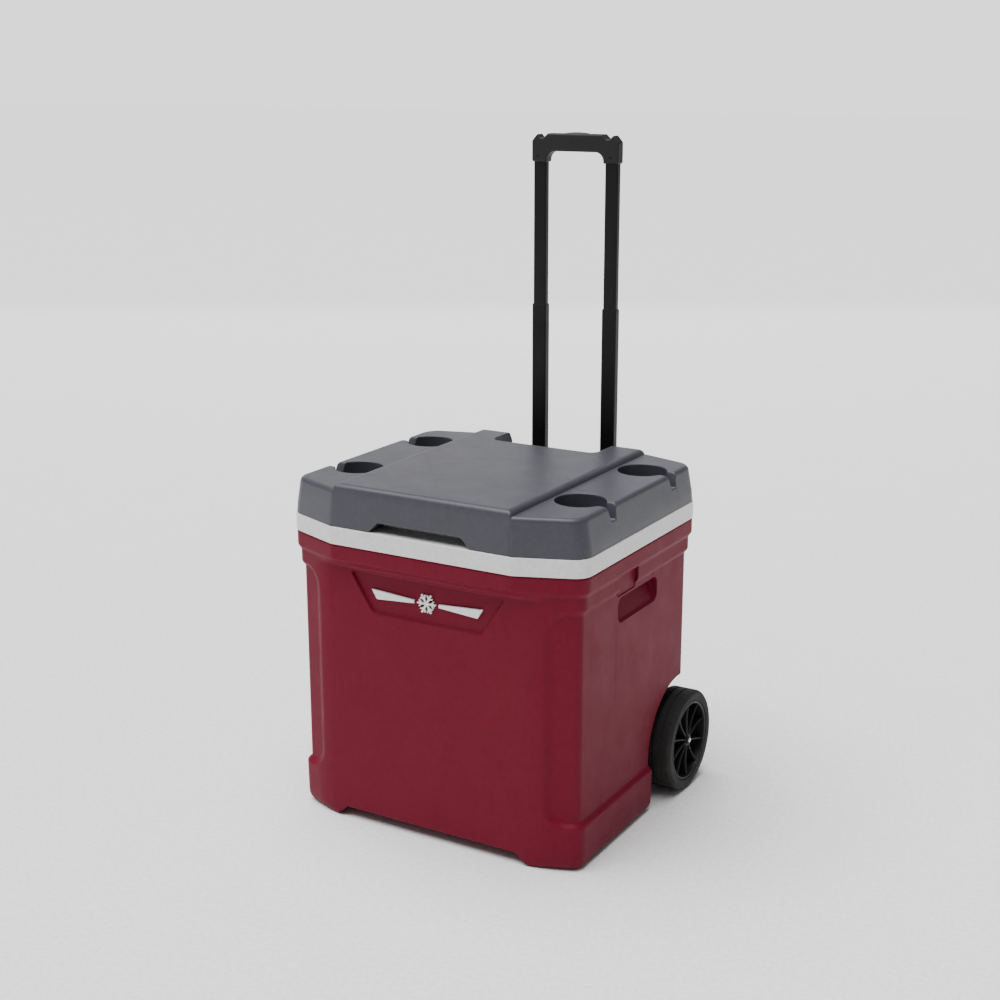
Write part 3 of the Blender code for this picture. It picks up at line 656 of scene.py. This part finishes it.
def shell():
    """Red box with its panel, scoops, wheel wells, room inside and screw holes."""
    y, z = AXLE
    openings = [bar_along_y(round_outline(PANEL_OUTLINE, 6), *PANEL_Y),
                bar_along_y(FOOT_GAP, -OUTSIDE, OUTSIDE)]
    for sign in (-1, 1):
        arch_ends = sorted((sign * WELL_X, sign * WELL_OUT))
        openings.append(tube(*arch_ends, AXLE, ARCH_RADIUS, 72))
        openings.append(scoop(sign))
        openings.append(side_box(sign, TAB_FACE_X, SCOOP_OUT, *TAB_Y, *TAB_Z))
    body = cut(skin(), merge(openings))
    under_arches = [side_box(sign, WELL_X, WELL_OUT, y - ARCH_RADIUS, OUTSIDE, -5, z)
                    for sign in (-1, 1)]
    body = cut(body, merge(under_arches))
    body = cut(body, cavity())
    holes = [tube(-230, 230, AXLE, AXLE_HOLE_RADIUS, 24)]
    holes += [bar_along_y(arc(place, SCREW_HOLE_RADIUS, 0, 337.5, 15), *SCREW_HOLE_Y)
              for place in SCREW_HOLES]
    body = cut(body, merge(holes))
    flatten(body, 0.15)
    round_edges(body, 1.0, 40, where=by_scoop)
    round_edges(body, 2.2, 40, where=lambda spot: not unseen(spot) and not by_scoop(spot))
    add_piece("shell", body, RED, "cooler", ["outer_shell"], angle=46)


# ---------------------------------------------------------------- lid

# Insets of the lid from the rim band (front, facet, side, rear) at each height.
LID_COURSES = (((0.8, 0.8, 0.8, 2.0), 445.1), ((1.6, 1.8, 1.9, 3.0), 460.0),
               ((3.3, 4.1, 7.7, 5.1), 491.0), ((3.9, 4.8, 8.4, 5.8), 493.4),
               ((4.9, 5.9, 9.6, 6.8), 495.2), ((6.2, 7.3, 11.0, 8.2), 496.5),
               ((7.9, 9.0, 12.8, 10.0), 497.2), ((9.9, 11.0, 14.9, 12.0), 497.5))
# Raised panel: how far its edge is in from its foot at each height.
PANEL_COURSES = ((470, 0.0), (490, 0.4), (498, 0.9), (500.6, 1.9), (502.6, 3.4), (504.0, 5.4),
                 (504.8, 7.8), (505, 10.4))
PANEL = (-142, 142, -224.8, 176)
PANEL_CORNER = 3.0
POCKET = (88.5, 114, 461)              # half width, front and floor
POCKET_CORNER = 14
POCKET_HALF_DEPTH = 60                 # far enough to open the pocket at the rear
NOTCH_HALF = (84, 66)                  # half width of the finger notch, below and above
NOTCH_Z = (441, 459.5)
NOTCH_REAR = -190.0
CUP_PLACES = ((180, -105.5), (180, 84), (-180, -105.5), (-180, 84))
CUP_RADIUS = 35.0
CUP_FLOOR = 476.0
LID_SKIN = 3.0
LID_RADII = (20, 27, 25, 16, 16, 25, 27, 20)
DRAIN_STEPS = ((6.5, CUP_FLOOR), (8.2, 484), (11, 494), (15, 500))   # half width, height


def lid_ring(insets, z):
    """Plan of the lid at one height, each wall set in by its own distance."""
    front, facet, side, rear = insets
    moved = move_sides(band_corners(), (facet, side, rear, rear, rear, side, facet, front))
    corners = [(spot.x, spot.y, radius) for (spot, _), radius in zip(moved, LID_RADII)]
    return [(p.x, p.y, z) for p in round_outline(corners, 8)]


def drain(x, y):
    """Slot that lets a cup holder run out over the side of the lid."""
    sign = 1 if x > 0 else -1
    outline = [(y - half, z) for half, z in DRAIN_STEPS[:1]]
    outline += [(y + half, z) for half, z in DRAIN_STEPS]
    outline += [(y - half, z) for half, z in reversed(DRAIN_STEPS[1:])]
    return stack([[(sign * w, u, v) for u, v in outline] for w in (190, 262)])


def lid_block():
    """The lid before anything is cut out of it: courses and raised panel."""
    x0, x1, y0, y1 = PANEL
    middle = ((x0 + x1) / 2, (y0 + y1) / 2)
    rings = []
    for z, inset in PANEL_COURSES:
        outline = rounded_box((x1 - x0) / 2 - inset, (y1 - y0) / 2 - inset, PANEL_CORNER,
                              middle, 3)
        rings.append([(p.x, p.y, z) for p in outline])
    return weld(stack([lid_ring(insets, z) for insets, z in LID_COURSES]), stack(rings))


def lid_room():
    """Room for the lid's foam, clear of the rear pocket and the finger notch."""
    half, front, floor = POCKET
    room = stack([lid_ring((4, 5, 6, 6), 442), lid_ring((6, 7, 9.5, 8), CUP_FLOOR - LID_SKIN)])
    under_panel = box(-133, 133, -213, front - LID_SKIN, 462, 502)
    room = weld(room, under_panel)
    behind_pocket = box(-half - LID_SKIN, half + LID_SKIN, front - LID_SKIN + 0.1, 220,
                        floor - LID_SKIN, 520)
    behind_notch = box(-NOTCH_HALF[0] - LID_SKIN, NOTCH_HALF[0] + LID_SKIN, -240,
                       NOTCH_REAR + LID_SKIN, 433, NOTCH_Z[1] + LID_SKIN)
    return cut(room, merge([behind_pocket, behind_notch]))


def lid():
    """Grey lid with cup holders, drains, rear pocket and finger notch."""
    half, front, floor = POCKET
    pocket = rounded_box(half, POCKET_HALF_DEPTH, POCKET_CORNER,
                         (0, front + POCKET_HALF_DEPTH), 6)
    (low_half, high_half), (low, high) = NOTCH_HALF, NOTCH_Z
    notch = ((-low_half, low), (low_half, low), (high_half, high), (-high_half, high))
    tools = [column(pocket, floor, 520), bar_along_y(notch, -OUTSIDE, NOTCH_REAR)]
    tools += [column(arc(place, CUP_RADIUS, 0, 354, 59), CUP_FLOOR, 530) for place in CUP_PLACES]
    body = cut(lid_block(), merge(tools))
    body = cut(body, merge([drain(*place) for place in CUP_PLACES]))
    body = cut(body, lid_room())
    flatten(body, 0.15)

    def finger_notch(spot):
        return abs(spot.x) < 92 and spot.y < -180 and spot.z < 466

    def panel_end(spot):
        return 128 < abs(spot.x) < 147 and (spot.y < -206 or spot.y > 158)

    def inside(spot):
        return spot.z < CUP_FLOOR - LID_SKIN + 0.5 and abs(spot.x) < 229 and -222 < spot.y < 177

    def outer_edge(spot):
        return not (finger_notch(spot) or panel_end(spot) or inside(spot))

    round_edges(body, 0.9, 40, where=finger_notch)
    round_edges(body, 1.6, 40, 4, where=outer_edge)
    add_piece("lid", body, GREY, "lid", ["lid_shell"], angle=50)


PAN_COURSES = (((6.8, 7.8, 8.8, 8.8), 445.1), ((6.2, 7.2, 8.2, 8.2), 445.3),
               ((6, 7, 8, 8), 445.9), ((6, 7, 8, 8), 449.1))
PLUG_COURSES = ((432, 5.6), (432.3, 3.6), (433.2, 1.8), (434.8, 0.5), (437, 0), (447, 0))
PLUG_HALF = (181, 152)
PLUG_CORNER = 28
PLUG_MIDDLE = (0, -21)
PAN_GAP = 88                           # half width of the pan's gap at the finger notch


def lid_plug():
    """White pan under the lid, with a soft-edged plug that drops into the tub."""
    rings = []
    for z, inset in PLUG_COURSES:
        outline = rounded_box(PLUG_HALF[0] - inset, PLUG_HALF[1] - inset, PLUG_CORNER - inset,
                              PLUG_MIDDLE, 8)
        rings.append([(p.x, p.y, z) for p in outline])
    body = weld(stack([lid_ring(insets, z) for insets, z in PAN_COURSES]), stack(rings))
    body = cut(body, box(-PAN_GAP, PAN_GAP, -240, NOTCH_REAR + LID_SKIN + 1, 430, 470))
    strip = box(-PAN_GAP - 0.5, PAN_GAP + 0.5, NOTCH_REAR - 1.0, NOTCH_REAR - 0.1, 445.4, 448.9)
    add_piece("lid_plug", weld(body, strip), WHITE, "lid", ["lid_liner"])


# ---------------------------------------------------------------- badge and liner

ARM_HALF = 1.3                         # half thickness of the crystal's arms
BARB_HALF = 0.95
BARB_LENGTH = 6.4
BARB_LEAN = 48                         # degrees off the arm


def direction(degrees):
    """Unit vector in the front view, counter-clockwise from the right."""
    return Vector((math.cos(math.radians(degrees)), math.sin(math.radians(degrees))))


def badge():
    """Snow crystal with barbed arms between two tapered bars."""
    y0, y1 = span("front_badge", "Y")
    z0, z1 = span("front_badge", "Z")
    middle = (z0 + z1) / 2
    reach = (z1 - z0) / 2 / math.sin(math.radians(60)) - 1.6

    def plate(outline):
        return bar_along_y([(u, middle + v) for u, v in outline], y0, y1)

    def bar(start, end, half):
        across = (end - start).normalized().orthogonal() * half
        return plate((start - across, end - across, end + across, start + across))

    body = bar(Vector((-reach, 0)), Vector((reach, 0)), ARM_HALF)
    for turn in (60, 120):
        tip = direction(turn) * reach
        body = weld(body, bar(-tip, tip, ARM_HALF))
    for turn in range(0, 360, 60):
        base = direction(turn) * reach * 0.5
        for lean in (-BARB_LEAN, BARB_LEAN):
            tip = base + direction(turn + lean) * BARB_LENGTH
            body = weld(body, bar(base, tip, BARB_HALF))
    for sign in (-1, 1):
        inner = sign * (reach + 5)
        outline = ((inner, -2.4), (sign * 81, -6.8), (sign * 89.5, 6.8), (inner, 2.4))
        body = merge([body, plate(outline)])
    round_edges(body, 0.4, 40, 2)
    add_piece("badge", body, BADGE, "cooler", ["front_badge"])


def tub_and_foam():
    """White liner with its rim band, and the foam behind it and in the lid."""
    liner = round_edges(clean_copy("inner_liner"), 1.6)
    add_piece("rim_and_tub", liner, WHITE, "cooler", ["inner_liner"])
    dress("foam_core", FOAM)
    dress("lid_foam", FOAM)


# ---------------------------------------------------------------- wheels

SHOULDER = 7.0
TREAD_STEPS = 160
SIPE_EVERY = 4
SIPE_DEPTH = 0.9
GROOVE_DEPTH = 1.5
RIB_COUNT = 10
HUB_RADIUS = 9.0
LIP_RADIUS = 1.9
LIP_DEPTH = 3.4                        # of the lip's middle, in from the tyre's side
BORE = 4.1


def tyre(side, sign):
    """Solid tyre with rounded shoulders, two grooves round it and shoulder sipes."""
    centre, (half, _, radius) = centre_and_half("tyre_" + side)
    seat = centre_and_half("wheel_rim_" + side)[1][2] + 0.3
    flank = arc((half - SHOULDER, radius - SHOULDER), SHOULDER, 8, 84, 7)
    tread = [(half - SHOULDER - 1.5, radius), (8.2, radius), (7.6, radius - GROOVE_DEPTH),
             (5.4, radius - GROOVE_DEPTH), (4.8, radius), (0, radius)]
    right = [(half - 1.6, seat), (half - 0.7, seat + 0.5), (half - 0.4, seat + 1.6),
             (half - 0.9, seat + 2.4), (half - 0.5, seat + 3.4)]
    right += [(p.x, p.y) for p in flank] + tread
    profile = right + [(-a, r) for a, r in reversed(right[:-1])]
    mesh = turned(profile, centre, sign, TREAD_STEPS)
    for vert in mesh.verts:
        spot = vert.co / MM - centre
        axial = abs(spot.x)
        reach = math.hypot(spot.y, spot.z)
        step = round(math.atan2(spot.z, spot.y) / math.tau * TREAD_STEPS)
        if step % SIPE_EVERY == 0 and 8.5 < axial < half - 0.8 and reach > radius - 6.5:
            shrink = (reach - SIPE_DEPTH) / reach
            vert.co = (centre + Vector((spot.x, spot.y * shrink, spot.z * shrink))) * MM
    add_piece("tyre_tread_" + side, mesh, RUBBER, "wheel_" + side, ["tyre_" + side],
              angle=50, weighted=False)


def rib(centre, half, end, sign, index):
    """One thin rib with a rounded, slightly scooped front edge."""
    front = [(HUB_RADIUS - 1.5, half - 4.4), (14, half - 5.0), (22, half - 5.7),
             (32, half - 6.0), (42, half - 5.4), (50, half - 4.6), (end - 1.5, half - 3.6)]
    back = [(end - 1.5, -9.5), (HUB_RADIUS - 1.5, -9.5)]
    rings = []
    for across, drop in ((-1.5, 2.6), (-1.25, 1.0), (-0.7, 0.25), (0, 0), (0.7, 0.25),
                         (1.25, 1.0), (1.5, 2.6)):
        outline = [(r, a - drop) for r, a in front] + back
        rings.append([(r, across * (1.0 if a > -9 else 1.25), a) for r, a in outline])
    mesh = stack(rings)
    angle = math.tau * (index + 0.5) / RIB_COUNT
    for vert in mesh.verts:
        r, across, a = vert.co / MM
        y = r * math.cos(angle) - across * math.sin(angle)
        z = r * math.sin(angle) + across * math.cos(angle)
        vert.co = (centre + Vector((sign * a, y, z))) * MM
    bmesh.ops.recalc_face_normals(mesh, faces=mesh.faces)
    return mesh


def rim(side, sign):
    """Deep rim: barrel, web disc, hub and ribs in one moulding."""
    centre, (half, _, _) = centre_and_half("tyre_" + side)
    edge = centre_and_half("wheel_rim_" + side)[1][2]
    lip = arc((edge - LIP_RADIUS, half - LIP_DEPTH), LIP_RADIUS, 0, 180, 8)
    profile = [(-half + 2, edge), (half - 5.5, edge)]
    profile += [(a, r) for r, a in lip]
    profile += [(half - 6.5, edge - 4.2), (-6, edge - 5.6), (-7.6, edge - 6.4), (-8, edge - 8),
                (-8, HUB_RADIUS + 4.5), (-6.6, HUB_RADIUS + 1.6), (-4, HUB_RADIUS + 0.8),
                (half - 4.8, HUB_RADIUS), (half - 4.1, HUB_RADIUS - 0.8), (half - 4, BORE),
                (-half + 0.8, BORE), (-half + 0.8, HUB_RADIUS + 2), (-12, HUB_RADIUS + 4),
                (-12, edge - 6), (-half + 2, edge - 4)]
    body = turned(profile, centre, sign, 120)
    ribs = [rib(centre, half, edge - 3, sign, index) for index in range(RIB_COUNT)]
    body = weld(body, merge(ribs))
    add_piece("rim_" + side, body, RIM, "wheel_" + side,
              ["wheel_rim_" + side], angle=35, weighted=False)


def push_nut(side, sign):
    """Pressed spring cap with a domed rim, on the axle's end."""
    node = "push_nut_" + side
    centre, (thick, reach, _) = centre_and_half(node)
    profile = [(-thick, BORE + 0.2), (-thick, reach), (-thick + 0.7, reach), (-0.1, reach - 0.5),
               (0.3, reach - 1.3), (0.35, reach - 2.0), (thick, BORE + 0.9), (thick, BORE + 0.2)]
    add_piece("axle_cap_" + side, turned(profile, centre, sign, 40), PAINT, "cooler",
              [node])


def axle():
    """Steel rod with rounded ends."""
    x0, x1 = span("wheel_axle", "X")
    centre, (_, radius, _) = centre_and_half("wheel_axle")
    rings = []
    for x, r in ((x0, 2.6), (x0 + 0.5, 3.5), (x0 + 1.3, radius), (x1 - 1.3, radius),
                 (x1 - 0.5, 3.5), (x1, 2.6)):
        rings.append([(x, centre.y + p.x, centre.z + p.y) for p in arc((0, 0), r, 0, 345, 23)])
    add_piece("axle", stack(rings), STEEL, "cooler", ["wheel_axle"])


# ---------------------------------------------------------------- handle

TUBE_CORNER = 2.8
GRIP_EDGE = 3.6                        # radius of the grip's long edges
PARTING_GAP = 0.12                     # between each half and the middle plane
WELL_CORNER = 5.4
PIN_PLACE = (60.5, 925.0)              # cross pins through the grip's legs
PIN_RADIUS = 2.3
PIN_DEPTH = 0.9


def post(name, node, walls, body):
    """Rectangular tube with rounded corners and softened ends."""
    (x0, x1), (y0, y1), (z0, z1) = (span(node, axis) for axis in "XYZ")
    centre = ((x0 + x1) / 2, (y0 + y1) / 2)
    half_x, half_y = (x1 - x0) / 2, (y1 - y0) / 2

    def ring(inset, z):
        corner = max(TUBE_CORNER - inset * 0.6, 0.8)
        outline = rounded_box(half_x - inset, half_y - inset, corner, centre, 6)
        return [(p.x, p.y, z) for p in outline]

    wall_x, wall_y = walls
    inner = [(p.x, p.y, z) for z in (z1, z0)
             for p in rounded_box(half_x - wall_x, half_y - wall_y, 1.8, centre, 6)]
    count = len(inner) // 2
    rings = [ring(0.45, z0), ring(0.1, z0 + 0.2), ring(0, z0 + 0.6), ring(0, z1 - 0.7),
             ring(0.12, z1 - 0.25), ring(0.5, z1), inner[:count], inner[count:]]
    add_piece(name, stack(rings, closed=False), PAINT, body, [node], angle=50)


def posts():
    """The handle's six tubes, with the blocks that guide and lock them."""
    for side, _ in SIDES:
        post("socket_tube_" + side, "handle_outer_tube_" + side, (1.5, 1.8), "cooler")
        post("middle_tube_" + side, "handle_lower_tube_" + side, (1.3, 1.0), "handle_lower")
        post("top_tube_" + side, "handle_upper_tube_" + side, (1.2, 1.2), "handle_upper")
        dress("lower_guide_" + side, BLACK)
        dress("lock_block_" + side, BLACK)


def grip_corners():
    """Front view of the grip, worked out from the CAD grip's box."""
    (x0, x1), (z0, z1) = span("grip_front", "X"), span("grip_front", "Z")
    half = (x1 - x0) / 2
    right = [(half, z0, 3), (half, z1 - 11, 7), (half - 9.0, z1 - 0.8, 1.6),
             (half - 14.2, z1 - 6.2, 1.5), (half - 20.0, z1 - 6.2, 1.5), (half - 26.5, z1, 2.5)]
    left = [(-x, z, r) for x, z, r in reversed(right)]
    inner = half - 25.3
    opening = [(-inner, z0, 2), (-inner, z0 + 16, 13), (inner, z0 + 16, 13), (inner, z0, 2)]
    return right + left + opening


def grip_room(middle):
    """Button well and tube sockets inside the grip; middle is its middle Y."""
    z0, z1 = span("grip_front", "Z")
    _, (button_x, button_y, _) = centre_and_half("release_button")
    well = rounded_box(button_x + 0.5, button_y + 0.5, WELL_CORNER, (0, middle), 6)
    parts = [column(well, z0 + 24, z1 + 9)]
    tube_place, (tube_x, tube_y, _) = centre_and_half("handle_upper_tube_right")
    for sign in (-1, 1):
        socket = rounded_box(tube_x + 0.25, tube_y + 0.25, TUBE_CORNER,
                             (sign * tube_place.x, middle), 6)
        parts.append(column(socket, z0 - 5, z0 + 15))
    return merge(parts)


def grip():
    """Two moulded halves with a parting line, a button well and tube sockets."""
    corners = grip_corners()
    y_low, y_high = span("grip_front", "Y")[0], span("grip_rear", "Y")[1]
    middle = (y_low + y_high) / 2
    for name, side in (("front", -1), ("rear", 1)):
        whole = slab(corners, y_low, y_high, GRIP_EDGE)
        faces = sorted((middle + side * PARTING_GAP, middle + side * (y_high - y_low)))
        half = combine(whole, box(-99, 99, *faces, 800, 999), "INTERSECT")
        half = cut(half, grip_room(middle))
        if name == "front":
            pins = [bar_along_y(arc((sign * PIN_PLACE[0], PIN_PLACE[1]), PIN_RADIUS, 0, 337.5, 15),
                                y_low - 3, y_low + PIN_DEPTH) for sign in (-1, 1)]
            half = cut(half, merge(pins))
        add_piece("grip_shell_" + name, half, BLACK, "handle_upper",
                  ["grip_" + name], angle=42)


def button():
    """Push button with a low dome."""
    place, (half_x, half_y, _) = centre_and_half("release_button")
    z0, z1 = span("release_button", "Z")
    rings = []
    for in_x, in_y, drop in ((0, 0, z1 - z0), (0, 0, 3.4), (0.5, 0.2, 2.5), (1.8, 0.7, 1.9),
                             (4.2, 1.4, 1.3), (7.5, 2.2, 0.8), (11.5, 3.0, 0.4), (16, 3.8, 0.12),
                             (20, 4.5, 0)):
        outline = rounded_box(half_x - in_x, half_y - in_y, max(5 - in_y, 0.5), (0, place.y), 6)
        rings.append([(p.x, p.y, z1 - drop) for p in outline])
    add_piece("button", stack(rings), RIM, "release", ["release_button"],
              angle=60)
    dress("release_yoke", STEEL)


# ---------------------------------------------------------------- fittings

def fittings():
    """Brackets, screws, spacers and hinges."""
    for name in ("upper", "lower"):
        plate = round_edges(clean_copy(name + "_bracket"), 0.5, segments=2)
        add_piece(name + "_tube_bracket", plate, BLACK, "cooler",
                  [name + "_bracket"])
    for side, _ in SIDES:
        dress("axle_spacer_" + side, BLACK)
        for node in ("upper_bracket_screw_", "lower_bracket_screw_", "hinge_pin_"):
            dress(node + side, STEEL)
        for kind, body in (("body", "cooler"), ("lid", "lid")):
            node = "hinge_%s_leaf_%s" % (kind, side)
            leaf = round_edges(clean_copy(node), 0.35, segments=2)
            add_piece("hinge_%s_plate_%s" % (kind, side), leaf, STEEL, body,
                      [node])


# ---------------------------------------------------------------- light, floor, camera

CAMERA_LENS = 57.885                       # mm, as SENSOR is
SENSOR = 36
CAMERA_PLACE = (1.1347, -1.9394, 1.0611)
CAMERA_AZIMUTH = 30.47                     # degrees round from straight ahead
CAMERA_PITCH = 15.26
CAMERA_ROLL = -0.07
SKY_LIGHT = 0.26
BACKDROP_LIGHT = 1.7
CEILING_LIGHT = 5.8
CEILING_DIRECTION = (0.20, 0.16, -1)
CEILING_SPREAD = 60                        # degrees
LIGHT_TARGET = (0, 0, 0.35)
FLOOR_HALF = 30.0
FLOOR_LEVEL = -0.0002                      # just clear of the feet and the tyres


def add_camera():
    """Camera at the front right, a little above the lid."""
    azimuth, pitch, roll = (math.radians(a) for a in (CAMERA_AZIMUTH, CAMERA_PITCH, CAMERA_ROLL))
    ahead = Vector((-math.sin(azimuth) * math.cos(pitch), math.cos(azimuth) * math.cos(pitch),
                    -math.sin(pitch)))
    flat = Vector((math.cos(azimuth), math.sin(azimuth), 0))
    up = flat.cross(ahead)
    right = flat * math.cos(roll) + up * math.sin(roll)
    up = up * math.cos(roll) - flat * math.sin(roll)
    camera = bpy.data.objects.new("camera", bpy.data.cameras.new("camera"))
    camera.data.lens = CAMERA_LENS
    camera.data.sensor_width = SENSOR
    scene.collection.objects.link(camera)
    turn = Matrix((right, up, -ahead)).transposed().to_4x4()
    turn.translation = Vector(CAMERA_PLACE)
    camera.matrix_world = turn
    scene.camera = camera


def area_light(name, place, size, power):
    """Rectangular lamp that faces the cooler and that the camera can't see."""
    light = bpy.data.lights.new(name, "AREA")
    light.shape = "RECTANGLE"
    light.size, light.size_y = size
    light.energy = power
    holder = bpy.data.objects.new(name, light)
    holder.location = place
    aim = Vector(LIGHT_TARGET) - Vector(place)
    holder.rotation_euler = aim.to_track_quat("-Z", "Y").to_euler()
    holder.visible_camera = False
    scene.collection.objects.link(holder)


def backdrop_and_lights():
    """White surroundings, broad light from above, a weak front and a rear lamp."""
    world = bpy.data.worlds.new("studio")
    world.use_nodes = True
    tree = world.node_tree
    backdrop = tree.nodes["Background"]
    backdrop.inputs["Color"].default_value = (1.0, 1.0, 1.0, 1.0)
    seen = tree.nodes.new("ShaderNodeLightPath").outputs["Is Camera Ray"]
    strength = add_node(tree, "ShaderNodeMapRange")
    strength.inputs["To Min"].default_value = SKY_LIGHT
    strength.inputs["To Max"].default_value = BACKDROP_LIGHT
    tree.links.new(seen, strength.inputs["Value"])
    tree.links.new(strength.outputs["Result"], backdrop.inputs["Strength"])
    scene.world = world
    sun = bpy.data.lights.new("ceiling", "SUN")
    sun.energy = CEILING_LIGHT
    sun.angle = math.radians(CEILING_SPREAD)
    holder = bpy.data.objects.new("ceiling", sun)
    holder.rotation_euler = Vector(CEILING_DIRECTION).to_track_quat("-Z", "Y").to_euler()
    scene.collection.objects.link(holder)
    area_light("front", (-1.8, -3.0, 1.5), (2.4, 1.6), 2)
    area_light("back", (-2.4, 4.1, 1.5), (5.0, 2.2), 33)


def add_floor():
    """Large sheet of pale paper just under the wheels."""
    floor = bmesh.new()
    bmesh.ops.create_grid(floor, x_segments=8, y_segments=8, size=FLOOR_HALF)
    data = bpy.data.meshes.new("floor")
    floor.to_mesh(data)
    floor.free()
    stage = bpy.data.objects.new("floor", data)
    stage.location.z = FLOOR_LEVEL
    scene.collection.objects.link(stage)
    data.materials.append(finish("floor_paper", (0.86, 0.86, 0.86), (0.84, 0.84, 0.84),
                                 (0.8, 0.9), 0.05, 0.05, grain_scale=300.0))


shell()
lid()
lid_plug()
badge()
tub_and_foam()
for side_name, side_sign in SIDES:
    tyre(side_name, side_sign)
    rim(side_name, side_sign)
    push_nut(side_name, side_sign)
axle()
posts()
grip()
button()
fittings()
add_camera()
backdrop_and_lights()
add_floor()
